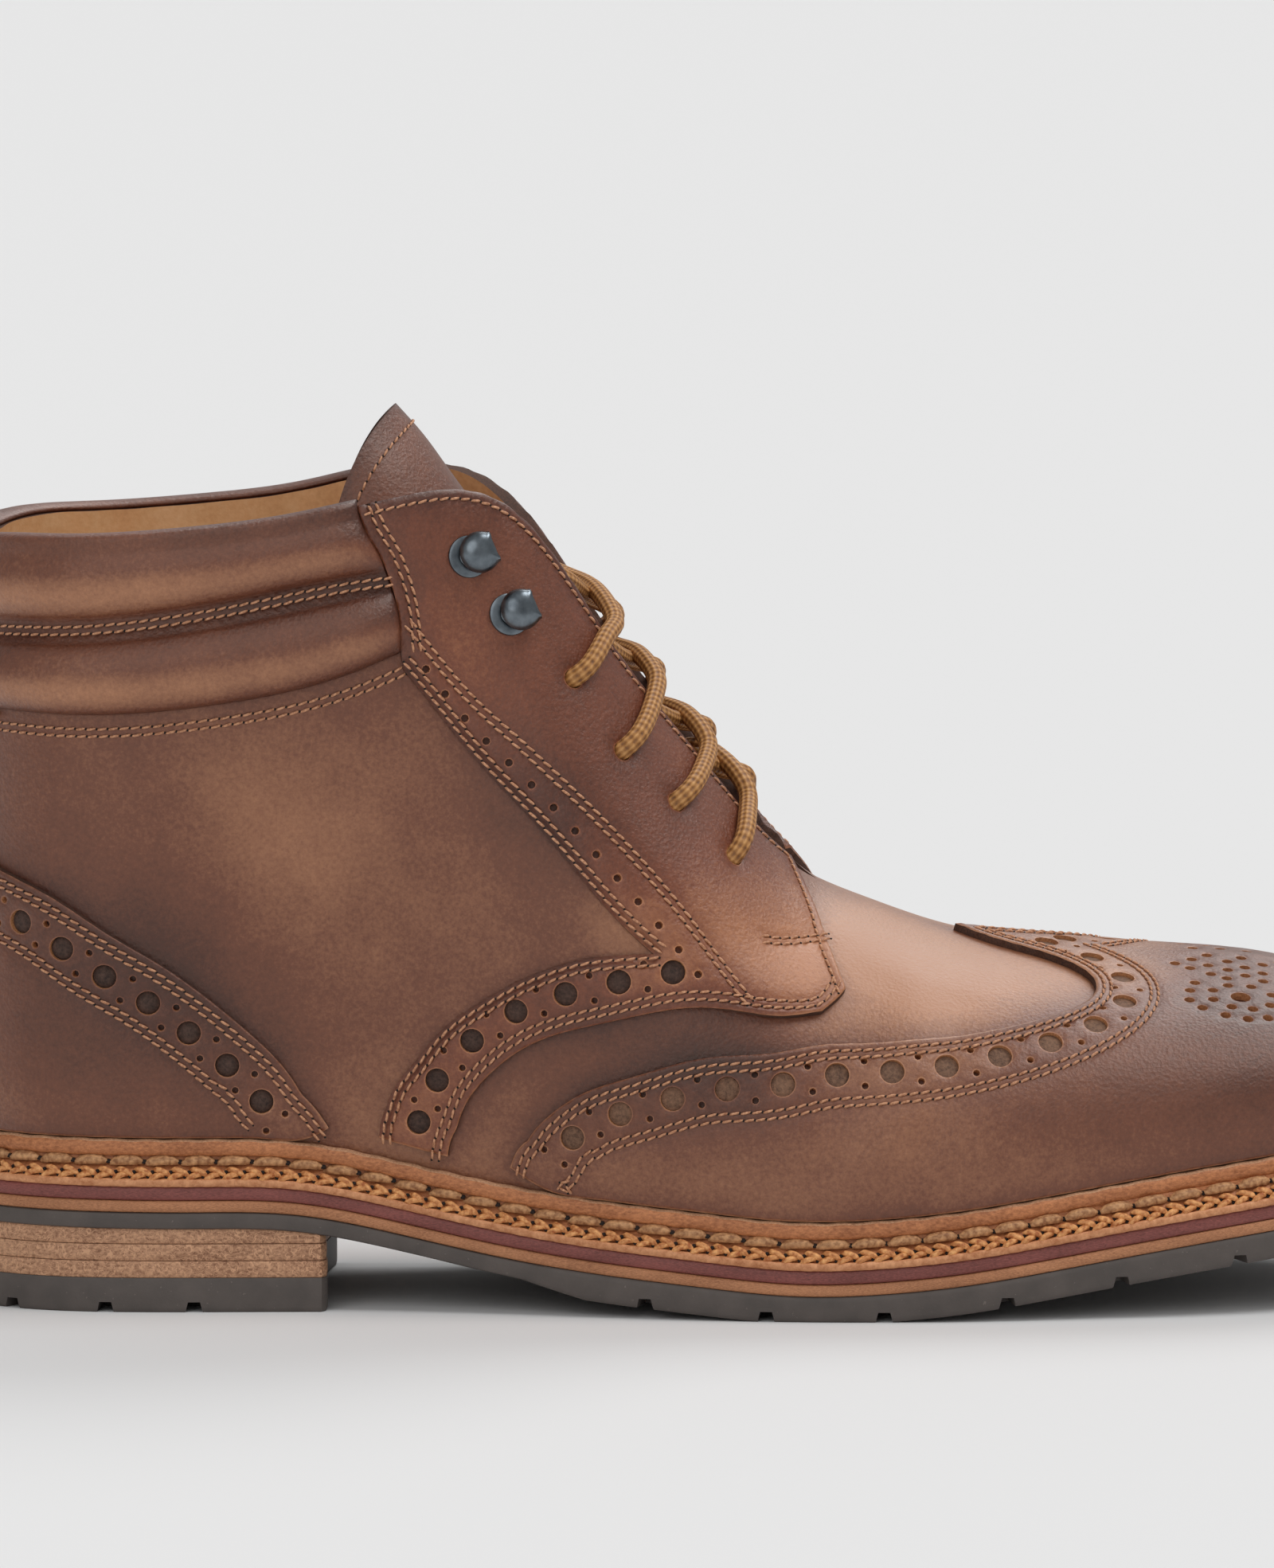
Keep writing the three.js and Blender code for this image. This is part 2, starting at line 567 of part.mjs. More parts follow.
// Wing cap: from the welt at the waist, along the flank, back to a point on the ridge, and round the toe.
const wingOutline = (side) => [
  ...smooth([[0.375, 0.233], [0.398, 0.313], [0.45, 0.393], [0.496, 0.46], [0.548, 0.52], [0.634, 0.59],
    [0.679, 0.643], [0.703, 0.683], [0.717, 0.74], [0.722, 0.8], [0.71, 0.887], [0.675, 0.948],
    [0.638, 1.002]]),
  [0.632, 1 + PAST],
  [1 + PAST, 1 + PAST],
  ...overRidge(1 + PAST, 0.37, side, 14),
];

// Counter: round the heel, falling from the back of the heel to the welt at the waist.
const counterOutline = (side) => [
  ...smooth([[-PAST, 0.606], [0.03, 0.598], [0.074, 0.563], [0.109, 0.527], [0.138, 0.48], [0.168, 0.437],
    [0.198, 0.387], [0.22, 0.347], [0.243, 0.3], [0.259, 0.243]]),
  ...overRidge(0.274, -PAST, side),
];

// Facing: the lace edge, its foot on the vamp, the arched brogue band down to the welt, and the band up.
const facingOutline = (side) => [
  [0.281, 1 + PAST],
  [0.537, 1 + PAST],
  ...smooth([[0.54, 0.985], [0.55, 0.88], [0.564, 0.72], [0.571, 0.65]]),
  ...smooth([[0.557, 0.593], [0.515, 0.563], [0.494, 0.54], [0.454, 0.483], [0.407, 0.413], [0.38, 0.373],
    [0.359, 0.337], [0.348, 0.31], [0.339, 0.257]]),
  ...overRidge(0.336, 0.294, side, 2),
  ...smooth([[0.297, 0.253], [0.303, 0.3], [0.331, 0.377], [0.359, 0.423], [0.391, 0.47], [0.419, 0.52],
    [0.458, 0.58]]),
  ...smooth([[0.444, 0.593], [0.408, 0.633], [0.372, 0.677], [0.338, 0.747], [0.31, 0.82]]),
  ...smooth([[0.3105, 0.86], [0.305, 0.917], [0.297, 0.955], [0.287, 0.99]]),
];

// Back strap: up the heel from the counter, wider under the collar.
const strapOutline = () => [
  [-PAST, 0.618],
  [0.024, 0.612],
  ...smooth([[0.026, 0.64], [0.04, 0.7], [0.06, 0.745], [0.082, 0.782]]),
  [-PAST, 0.785],
];

// Collar: two padded rolls round the shaft, between these heights, with the seam between them.
const COLLAR_ROWS = [
  { t: 0, low: 0.797, mid: 0.897 },
  { t: 0.128, low: 0.792, mid: 0.9 },
  { t: 0.203, low: 0.8, mid: 0.91 },
  { t: 0.252, low: 0.81, mid: 0.919 },
  { t: 0.305, low: 0.835, mid: 0.917 },
];
const collarRow = rowSpline(COLLAR_ROWS.map((row) => row.t), COLLAR_ROWS);
const COLLAR_V = [0.77, 0.82, 0.86, 0.905, 0.935, 0.97, 1];
const collarOutline = () => [
  ...smooth(COLLAR_ROWS.map((row) => [row.t === 0 ? -PAST : row.t - 0.003, row.low])),
  ...smooth([[0.3015, 0.86], [0.296, 0.917], [0.288, 0.955], [0.278, 0.99]]),
  [0.277, 1 + PAST],
  [-PAST, 1 + PAST],
];

function collarLift(t, v) {
  const { low, mid } = collarRow(Math.min(t, 0.305));
  const [from, to] = v < mid ? [low, mid] : [mid, 1.03];
  const share = THREE.MathUtils.clamp((v - from) / (to - from), 0, 1);
  const fade = THREE.MathUtils.clamp((0.31 - t) / 0.02, 0, 1);
  return GAP + COLLAR_EDGE + COLLAR_SWELL * Math.sin(Math.PI * share) * fade;
}

// Stations of the sole: where the feather line runs, and which way is out.
function featherStation(t, side) {
  const foot = face(t, 0, side);
  const out = normal(t, 0, side).setZ(0).normalize();
  return { foot, out, margin: lastRow(t).margin * WELT_WIDTH };
}

function soleOutline(inset, lines = T_LINES) {
  return lines.map((t) => {
    const pair = {};
    for (const [name, side] of Object.entries(SIDES)) {
      const { foot, out, margin } = featherStation(t, side);
      pair[name] = foot.clone().addScaledVector(out, margin - inset);
    }
    return pair;
  });
}

// A layer of the sole: a solid between two heights that follow x, across the whole outline.
function layerGeometry(outline, top, bottom) {
  const positions = [];
  const triangles = [];
  const rows = outline.map(({ lateral, medial }) =>
    [top, bottom].map((height) =>
      [lateral, medial].map((p) => {
        positions.push(p.x, p.y, height(p.x));
        return positions.length / 3 - 1;
      }),
    ),
  );
  const quad = (a, b, c, d) => triangles.push(a, b, c, a, c, d);
  for (let i = 0; i < rows.length - 1; i++) {
    const [[a, b], [c, d]] = rows[i];
    const [[e, f], [g, h]] = rows[i + 1];
    quad(a, e, f, b);
    quad(c, d, h, g);
    quad(a, c, g, e);
    quad(b, f, h, d);
  }
  const [[a, b], [c, d]] = rows[0];
  quad(a, b, d, c);
  const [[e, f], [g, h]] = rows[rows.length - 1];
  quad(e, g, h, f);
  return closedGeometry(positions, triangles);
}

// Thickness of the rubber outsole: thin under the heel block and waist, thick and cleated forward.
const OUTSOLE_ROWS = [
  { along: -0.2, fore: 0 },
  { along: 0.24, fore: 0 },
  { along: 0.31, fore: 0.12 },
  { along: 0.36, fore: 1 },
  { along: 1.12, fore: 1 },
];
function outsoleThickness(x) {
  const at = x / LAST_LENGTH;
  const i = Math.max(1, OUTSOLE_ROWS.findIndex((row) => row.along >= at));
  const [a, b] = [OUTSOLE_ROWS[i - 1], OUTSOLE_ROWS[i]];
  const share = a.fore + ((b.fore - a.fore) * (at - a.along)) / (b.along - a.along);
  return OUTSOLE_WAIST + (OUTSOLE_FORE - OUTSOLE_WAIST) * share;
}

const redTop = (x) => bed(x) - GAP;
const redBottom = (x) => redTop(x) - MIDSOLE_RED;
const naturalTop = (x) => redBottom(x) - GAP;
const naturalBottom = (x) => naturalTop(x) - MIDSOLE_NATURAL;
const rubberTop = (x) => naturalBottom(x) - GAP;
const rubberBottom = (x) => Math.max(0, rubberTop(x) - outsoleThickness(x));

// A notch across the sole's edge at one station, as a box that reaches in from outside.
function edgeNotch(t, side, bottom) {
  const { foot, out, margin } = featherStation(t, side);
  const box = new THREE.BoxGeometry(NOTCH_REACH + NOTCH_PAST, NOTCH_WIDTH, 2 * NOTCH_DEPTH);
  box.rotateZ(Math.atan2(out.y, out.x));
  const middle = foot.clone().addScaledVector(out, margin + (NOTCH_PAST - NOTCH_REACH) / 2);
  box.translate(middle.x, middle.y, bottom(foot.x + out.x * margin));
  return toSolid(box);
}

const FORE_NOTCHES = { first: 0.457, pitch: 0.0685, count: 8 };
const HEEL_NOTCHES = { first: 0.0245, pitch: 0.0505, count: 4 };

function cutNotches(solid, { first, pitch, count }, bottom) {
  let cut = solid;
  for (let k = 0; k < count; k++) {
    for (const side of [LATERAL, MEDIAL]) cut = cut.subtract(edgeNotch(first + k * pitch, side, bottom));
  }
  return cut;
}

function outsoleGeometry() {
  const body = toSolid(layerGeometry(soleOutline(0), rubberTop, rubberBottom));
  return toGeometry(cutNotches(body, FORE_NOTCHES, rubberBottom));
}

// The heel block under the waist rubber, cut off at its hollow breast.
function heelPart(top, bottom, inset) {
  const heelLines = T_LINES.filter((t) => face(t, 0, LATERAL).x < HEEL_BREAST + FAR / 4);
  const block = toSolid(layerGeometry(soleOutline(inset, heelLines), top, bottom));
  const breast = new THREE.Shape();
  breast.moveTo(HEEL_BREAST, -FAR);
  breast.lineTo(HEEL_BREAST + FAR, -FAR);
  breast.lineTo(HEEL_BREAST + FAR, FAR);
  breast.lineTo(HEEL_BREAST, FAR);
  breast.lineTo(HEEL_BREAST, BREAST_HALF);
  breast.quadraticCurveTo(HEEL_BREAST - 2 * BREAST_HOLLOW, 0, HEEL_BREAST, -BREAST_HALF);
  const cutter = new THREE.ExtrudeGeometry(breast, { depth: FAR, bevelEnabled: false, curveSegments: 6 });
  cutter.translate(0, 0, -FAR / 4);
  return block.subtract(toSolid(cutter));
}

const heelTop = (x) => rubberBottom(x) - GAP;
const liftHeight = (heelTop(HEEL_BREAST) - TOP_PIECE - HEEL_LIFTS * GAP) * LIFT_SHARE;

function heelLiftGeometry(k) {
  const bottom = TOP_PIECE + GAP + k * (liftHeight + GAP);
  const top = k === HEEL_LIFTS - 1 ? heelTop : () => bottom + liftHeight;
  return toGeometry(heelPart(top, () => bottom, HEEL_INSET + LIFT_STEP * (k + 1)));
}

function topPieceGeometry() {
  const body = heelPart(() => TOP_PIECE, () => 0, HEEL_INSET);
  return toGeometry(cutNotches(body, HEEL_NOTCHES, () => 0));
}

// The storm welt: its flat under the stitches, the slope of the two stitch rows, and the ridge on the upper.
const WELT_PROFILE = [
  { out: 1, rise: 0 },
  { out: 1, rise: WELT_EDGE / RIDGE_HEIGHT },
  { out: 0.76, rise: 0.42 },
  { out: 0.56, rise: 0.68 },
];
function weltGeometry() {
  const ring = [
    ...T_LINES.map((t) => [t, LATERAL]),
    ...T_LINES.slice(1, -1).reverse().map((t) => [t, MEDIAL]),
  ];
  const sections = ring.map(([t, side]) => {
    const { foot, out, margin } = featherStation(t, side);
    const level = (h) => skin(t, shareAtHeight(t, side, h), side, GAP);
    const inside = [level(RIDGE_HEIGHT), foot.clone().addScaledVector(out, GAP)];
    const outside = WELT_PROFILE.map(({ out: share, rise }) => {
      const p = foot.clone().addScaledVector(out, margin * share);
      return p.setZ(bed(p.x) + rise * RIDGE_HEIGHT);
    });
    const ridge = inside[0].clone().addScaledVector(out, RIDGE_WIDTH);
    inside[1].setZ(bed(inside[1].x));
    return [...outside, ridge.setZ(ridge.z - 0.4), ...inside];
  });
  const m = sections[0].length;
  const positions = sections.flat().flatMap((p) => [...p]);
  const triangles = [];
  sections.forEach((_, i) => {
    const next = (i + 1) % sections.length;
    for (let j = 0; j < m; j++) {
      const k = (j + 1) % m;
      triangles.push(i * m + j, next * m + j, next * m + k, i * m + j, next * m + k, i * m + k);
    }
  });
  return closedGeometry(positions, triangles);
}

// The height of the upper's top line over one station along the last.
function topLine(x) {
  let low = ROW_T[4];
  let high = ROW_T[15];
  for (let i = 0; i < 30; i++) {
    const mid = (low + high) / 2;
    if (face(mid, 1, LATERAL).x < x) low = mid;
    else high = mid;
  }
  return face(low, 1, LATERAL).z;
}

// Tongue sections from inside the vamp to the tip: crest in shares of the last, proud of the upper's top line
// in shares of the tip's height, half width and depth of the U in shares of the ball width, and how far its
// arms hang back.
const TONGUE_ROWS = [
  { along: 0.596, proud: -0.33, half: 0.2, deep: 0.07, hang: 0 },
  { along: 0.553, proud: -0.37, half: 0.22, deep: 0.075, hang: 0 },
  { along: 0.5, proud: -0.38, half: 0.225, deep: 0.11, hang: 0 },
  { along: 0.439, proud: -0.27, half: 0.245, deep: 0.165, hang: 0 },
  { along: 0.371, proud: -0.27, half: 0.265, deep: 0.2, hang: 0 },
  { along: 0.32, proud: -0.47, half: 0.27, deep: 0.225, hang: 0 },
  { along: 0.286, proud: -0.41, half: 0.265, deep: 0.24, hang: 0.02 },
  { along: 0.257, proud: 0.04, half: 0.25, deep: 0.25, hang: 0.05 },
  { along: 0.234, proud: 0.55, half: 0.235, deep: 0.255, hang: 0.075 },
  { along: 0.212, proud: 1, half: 0.215, deep: 0.255, hang: 0.095 },
];
const TONGUE_ACROSS = 6; // strips across
function tongueGeometry() {
  const crest = new THREE.CatmullRomCurve3(
    TONGUE_ROWS.map((row) => {
      const x = row.along * LAST_LENGTH;
      return new THREE.Vector3(x, TONGUE_SWAY, topLine(x) + row.proud * TONGUE_TIP);
    }),
  );
  const point = (i, share) => {
    const row = TONGUE_ROWS[i];
    const u = i / (TONGUE_ROWS.length - 1);
    const up = crest.getTangent(u);
    const front = new THREE.Vector3(up.z, 0, -up.x);
    const angle = share * Math.PI * 0.5;
    const back = 1 - Math.cos(angle);
    return crest
      .getPoint(u)
      .addScaledVector(front, -row.deep * BALL_WIDTH * back)
      .addScaledVector(up, -row.hang * BALL_WIDTH * back)
      .add(new THREE.Vector3(0, row.half * BALL_WIDTH * Math.sin(angle), 0));
  };
  const rows = [[], []];
  TONGUE_ROWS.forEach((_, i) => {
    const outer = [];
    const inner = [];
    for (let j = TONGUE_ACROSS / 2; j >= -TONGUE_ACROSS / 2; j--) {
      const share = (2 * j) / TONGUE_ACROSS;
      const p = point(i, share);
      const alongRow = point(i, share + 0.01).sub(point(i, share - 0.01));
      const up = crest.getTangent(i / (TONGUE_ROWS.length - 1));
      const outward = alongRow.cross(up).normalize();
      outer.push(p);
      inner.push(p.clone().addScaledVector(outward, -TONGUE));
    }
    rows[0].push(outer);
    rows[1].push(inner);
  });
  return shellGeometry(rows[0], rows[1]);
}

// Lace holes and hooks down each facing, in the sheet's own t and v, and how far the lace leans to the edge.
const LACE_HOLES = [
  { t: 0.503, v: 0.86, lean: 0.004 },
  { t: 0.469, v: 0.86, lean: 0.014 },
  { t: 0.437, v: 0.86, lean: 0.015 },
  { t: 0.408, v: 0.883, lean: 0.018 },
];
const HOOKS = [
  { t: 0.371, v: 0.89 },
  { t: 0.347, v: 0.937 },
];

function holePlug({ t, v }, side) {
  const plug = new THREE.CylinderGeometry(LACE_HOLE / 2, LACE_HOLE / 2, 14, 6);
  const out = normal(t, v, side);
  plug.applyQuaternion(new THREE.Quaternion().setFromUnitVectors(new THREE.Vector3(0, 1, 0), out));
  const at = face(t, v, side);
  plug.translate(at.x, at.y, at.z);
  return toSolid(plug);
}

function withLaceHoles(geometry, sides) {
  let solid = toSolid(geometry);
  for (const side of sides) for (const hole of LACE_HOLES) solid = solid.subtract(holePlug(hole, side));
  return toGeometry(solid);
}

// One crossing: a strand from each side's hole, over its facing and the tongue, joined where they cross.
const LACE_SIDES = 6;
const LACE_CLEAR = 0.4;
function laceCrossingGeometry(k) {
  const hole = LACE_HOLES[k];
  const next = LACE_HOLES[k + 1]?.t ?? hole.t - 0.03;
  const radius = LACE / 2;
  const overFacing = 2 * GAP + OVERLAY + radius + LACE_CLEAR;
  const across = (t, share, side, lift) => {
    const near = face(t, 1, side);
    const far = face(t, 1, -side);
    const slope = face(t - 0.01, 1, side).sub(face(t + 0.01, 1, side)).setY(0).normalize();
    const front = new THREE.Vector3(slope.z, 0, -slope.x);
    return near.lerp(far, share).addScaledVector(front, lift);
  };
  const strand = (side) => {
    const step = hole.t - next;
    const edge = hole.t + hole.lean;
    const path = new THREE.CatmullRomCurve3([
      skin(hole.t + 0.4 * hole.lean, hole.v + 0.055, side, overFacing),
      skin(edge, 1, side, overFacing + LACE_CLEAR),
      across(edge - 0.1 * step, 0.15, side, radius + 2.7),
      across(edge - 0.4 * step, 0.5, side, radius + 0.5),
      across(edge - 0.7 * step, 0.78, side, radius - 0.3),
    ]);
    const section = new THREE.Shape();
    section.absarc(0, 0, radius, 0, Math.PI * 2);
    const sweep = { steps: 5, extrudePath: path, curveSegments: LACE_SIDES / 2 };
    return toSolid(new THREE.ExtrudeGeometry(section, sweep));
  };
  return toGeometry(strand(LATERAL).add(strand(MEDIAL)));
}

// A speed hook: riveted base, short neck and domed leaf, standing on the facing.
function hookGeometry({ t, v }, side) {
  const base = new THREE.CylinderGeometry(HOOK_BASE / 2, HOOK_BASE / 2, 1, 8).translate(0, 0.5, 0);
  const neck = new THREE.CylinderGeometry(HOOK_NECK, HOOK_NECK * 1.25, HOOK_HEIGHT - 0.6, 6);
  neck.translate(HOOK_LEAF * 0.18, HOOK_HEIGHT / 2, 0);
  const leaf = new THREE.SphereGeometry(HOOK_LEAF / 2, 8, 4).scale(0.9, 0.36, 1.05);
  leaf.translate(HOOK_LEAF * 0.4, HOOK_HEIGHT, 0);
  const solid = toSolid(base).add(toSolid(neck)).add(toSolid(leaf));
  const geometry = toGeometry(solid);
  const out = normal(t, v, side);
  const forward = face(t + 0.01, v, side).sub(face(t - 0.01, v, side));
  forward.addScaledVector(out, -forward.dot(out)).normalize();
  const third = forward.clone().cross(out);
  const at = skin(t, v, side, 2 * GAP + OVERLAY + 0.15);
  geometry.applyMatrix4(new THREE.Matrix4().makeBasis(forward, out, third).setPosition(at));
  return geometry;
}

// Finishes
const LEATHER = new THREE.MeshStandardMaterial({ color: 0x6b4030, roughness: 0.42, metalness: 0 });
const DARK_LEATHER = new THREE.MeshStandardMaterial({ color: 0x4a2c20, roughness: 0.4, metalness: 0 });
const WELT_LEATHER = new THREE.MeshStandardMaterial({ color: 0xb07040, roughness: 0.6, metalness: 0 });
const RED_LEATHER = new THREE.MeshStandardMaterial({ color: 0x6e3a38, roughness: 0.6, metalness: 0 });
const NATURAL_LEATHER = new THREE.MeshStandardMaterial({ color: 0xa5663c, roughness: 0.65, metalness: 0 });
const STACK_LEATHER = new THREE.MeshStandardMaterial({ color: 0x8a5a40, roughness: 0.7, metalness: 0 });
const RUBBER = new THREE.MeshStandardMaterial({ color: 0x4b4441, roughness: 0.8, metalness: 0 });
const LINING = new THREE.MeshStandardMaterial({ color: 0xc8924f, roughness: 0.7, metalness: 0 });
const LACE_CORD = new THREE.MeshStandardMaterial({ color: 0xa97b3e, roughness: 0.85, metalness: 0 });
const PEWTER = new THREE.MeshStandardMaterial({ color: 0x5a6066, roughness: 0.35, metalness: 1 });

const boot = new THREE.Group();
function place(name, geometry, material) {
  const mesh = new THREE.Mesh(geometry, material);
  mesh.name = name;
  boot.add(mesh);
}

const BOTH = [LATERAL, MEDIAL];
place('outsole', outsoleGeometry(), RUBBER);
const naturalOutline = soleOutline(MIDSOLE_STEP);
const redOutline = soleOutline(2 * MIDSOLE_STEP);
place('midsole_natural', layerGeometry(naturalOutline, naturalTop, naturalBottom), NATURAL_LEATHER);
place('midsole_red', layerGeometry(redOutline, redTop, redBottom), RED_LEATHER);
place('welt', weltGeometry(), WELT_LEATHER);
place('heel_top_piece', topPieceGeometry(), RUBBER);
for (let k = 0; k < HEEL_LIFTS; k++) place(`heel_lift_${k + 1}`, heelLiftGeometry(k), STACK_LEATHER);
const insoleOutline = T_LINES.map((t) => ({
  lateral: skin(t, 0, LATERAL, -UPPER_WALL - GAP),
  medial: skin(t, 0, MEDIAL, -UPPER_WALL - GAP),
}));
place('insole', layerGeometry(insoleOutline, (x) => bed(x) + INSOLE, (x) => bed(x)), LINING);
place('upper', withLaceHoles(upperGeometry(), BOTH), LEATHER);
place('tongue', tongueGeometry(), LEATHER);

const wing = { outline: wingOutline, sides: BOTH, seams: ['toe', 'ridge'], from: ROW_T[7] };
const counter = { outline: counterOutline, sides: BOTH, seams: ['heel'], to: ROW_T[7] };
const strap = { outline: strapOutline, sides: BOTH, seams: ['heel'], to: ROW_T[4] };
place('wing_cap', panelGeometry(wing), LEATHER);
place('counter', panelGeometry(counter), LEATHER);
place('back_strap', panelGeometry(strap), DARK_LEATHER);
place('collar', panelGeometry({
  outline: collarOutline,
  sides: BOTH,
  seams: ['heel'],
  outer: collarLift,
  vLines: COLLAR_V,
  to: ROW_T[7],
}), LEATHER);
for (const [name, side] of Object.entries(SIDES)) {
  const facing = panelGeometry({ outline: facingOutline, sides: [side], from: ROW_T[5], to: ROW_T[14] });
  place(`facing_${name}`, withLaceHoles(facing, [side]), LEATHER);
  HOOKS.forEach((hook, k) => place(`hook_${name}_${k + 1}`, hookGeometry(hook, side), PEWTER));
}
LACE_HOLES.forEach((_, k) => place(`lace_crossing_${k + 1}`, laceCrossingGeometry(k), LACE_CORD));

export default boot;
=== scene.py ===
"""Dresses a right brogue ankle boot: panels, brogue holes, seams, lace, hooks, storm welt and sole."""

import logging
import math
from dataclasses import dataclass, field
from enum import Enum
from typing import Callable, Iterable, Sequence

import bmesh
import bpy
import numpy as np
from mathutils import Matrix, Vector
from mathutils.geometry import delaunay_2d_cdt
from mathutils.kdtree import KDTree

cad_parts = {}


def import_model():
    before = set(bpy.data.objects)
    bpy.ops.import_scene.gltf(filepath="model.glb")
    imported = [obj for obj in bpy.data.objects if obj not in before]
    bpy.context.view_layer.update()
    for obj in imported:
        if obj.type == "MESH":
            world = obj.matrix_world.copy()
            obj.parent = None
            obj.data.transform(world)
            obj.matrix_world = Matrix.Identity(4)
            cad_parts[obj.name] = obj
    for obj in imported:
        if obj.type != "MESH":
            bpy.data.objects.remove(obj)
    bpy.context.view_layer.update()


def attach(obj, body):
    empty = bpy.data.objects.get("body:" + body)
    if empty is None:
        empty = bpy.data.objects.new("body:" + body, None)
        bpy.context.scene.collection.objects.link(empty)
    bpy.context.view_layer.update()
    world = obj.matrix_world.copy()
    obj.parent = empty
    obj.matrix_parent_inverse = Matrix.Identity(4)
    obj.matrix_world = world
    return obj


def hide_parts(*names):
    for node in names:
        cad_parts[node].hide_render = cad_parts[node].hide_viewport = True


LOG = logging.getLogger("boot")
MM = 0.001
BODY = "root"

LAST_LENGTH = 255.0
BALL_WIDTH = 98.0
SHAFT_HEIGHT = 124.5
VAMP_HEIGHT = 66.0
HEEL_PITCH = 15.4
TOE_SPRING = 17.2
SOLE_LIFT = 9.8  # underside of the upper over the floor at the tread's flat spot
BELLY_SHARE = 0.28
THROAT_ROW = 12
UPPER_WALL = 2.2
OVERLAY = 1.5
GAP = 0.3

# Underside of the upper: along in shares of the last, then shares of the heel pitch and of the toe spring.
BED_ROWS = (
    (-0.16, 1.005, 0), (-0.06, 1.0, 0), (0.055, 0.98, 0), (0.133, 0.95, 0), (0.22, 0.69, 0), (0.306, 0.4, 0),
    (0.376, 0.24, 0), (0.447, 0.125, 0), (0.52, 0.025, 0), (0.588, 0, 0.047), (0.651, 0, 0.14),
    (0.722, 0, 0.302), (0.808, 0, 0.512), (0.914, 0, 0.74), (1.0, 0, 0.905), (1.09, 0, 1.06),
)

# Half sections of the upper from the heel round to the toe, as shares of the driving sizes.
LAST_COLUMNS = ("along sway turn footL footM belly bellyL bellyM shaft vamp rise rimL rimM leanL leanM "
                "wall round margin").split()
LAST_ROWS = (
    (0, 0, 180, .316, .316, .34, .342, .342, 1.006, 0, 0, .311, .311, 86, 86, .38, .42, .92),
    (0, 0, 155, .316, .316, .326, .342, .342, 1.008, 0, .007, .321, .321, 86, 86, .38, .42, .92),
    (0, 0, 128, .314, .314, .312, .342, .342, 1.015, 0, .014, .342, .342, 86, 86, .38, .42, .92),
    (.008, 0, 105, .312, .312, .3, .342, .34, 1.019, 0, .014, .367, .367, 86, 86, .38, .42, .92),
    (.055, 0, 90, .312, .306, .286, .342, .337, 1.032, 0, .013, .383, .383, 86, 86, .38, .42, .92),
    (.133, .005, 90, .314, .291, .285, .345, .321, 1.056, 0, .013, .378, .378, 85, 85, .38, .42, .9),
    (.22, .01, 90, .327, .27, .282, .357, .306, 1.126, 0, .014, .347, .342, 82, 82, .38, .42, .86),
    (.275, .012, 90, .347, .273, .276, .378, .309, 1.153, 0, -.003, .301, .296, 78, 78, .39, .42, .86),
    (.306, .015, 90, .362, .282, .285, .392, .318, .942, .35, -.015, .265, .255, 71, 71, .4, .42, .88),
    (.376, .02, 90, .403, .321, .27, .434, .357, .588, .662, -.013, .194, .184, 52, 52, .42, .44, .94),
    (.447, .026, 90, .444, .372, .27, .474, .408, .288, .889, .006, .128, .122, 36, 34, .44, .48, 1),
    (.502, .031, 90, .467, .405, .258, .5, .441, .096, 1.014, .009, .071, .066, 22, 18, .47, .51, 1),
    (.541, .034, 90, .478, .427, .256, .511, .461, 0, 1.083, 0, 0, 0, 8, -6, .5, .54, 1),
    (.588, .037, 90, .483, .443, .245, .515, .478, 0, 1.0, 0, 0, 0, 6, -6, .52, .56, 1),
    (.651, .041, 90, .483, .455, .25, .51, .485, 0, .892, 0, 0, 0, 8, -8, .54, .58, 1),
    (.722, .046, 90, .464, .447, .255, .49, .474, 0, .803, 0, 0, 0, 10, -10, .56, .58, 1),
    (.792, .051, 84, .434, .431, .26, .454, .454, 0, .712, 0, 0, 0, 12, -12, .56, .58, 1),
    (.863, .056, 70, .383, .393, .258, .403, .413, 0, .642, 0, 0, 0, 14, -4, .56, .58, 1),
    (.925, .061, 50, .291, .311, .242, .311, .332, 0, .552, 0, 0, 0, 20, 10, .54, .56, 1),
    (.973, .066, 27, .194, .204, .227, .214, .224, 0, .436, 0, 0, 0, 32, 26, .54, .54, 1),
    (1.0, .071, 0, .128, .128, .215, .143, .143, 0, .348, 0, 0, 0, 42, 42, .5, .5, 1),
)

SHADE_AND_LIGHT_KEYS = ("burnish", "light_and_tone")  # named numbers of the leather: darker for burnishing and for painted shade, and lighter or darker for its uneven tone, for painted highlights and painted shade, and for the painted reflection of the floor

Array = np.ndarray
Point2 = tuple[float, float]
Point3 = tuple[float, float, float]
Socket = bpy.types.NodeSocket
Value = float | Socket
Stops = tuple[tuple[float, str], ...]


class Side(Enum):
    """The two sides of a right boot."""

    LATERAL = -1
    MEDIAL = 1

    @property
    def other(self) -> "Side":
        """The opposite side."""
        return Side.MEDIAL if self is Side.LATERAL else Side.LATERAL


BOTH = (Side.LATERAL, Side.MEDIAL)


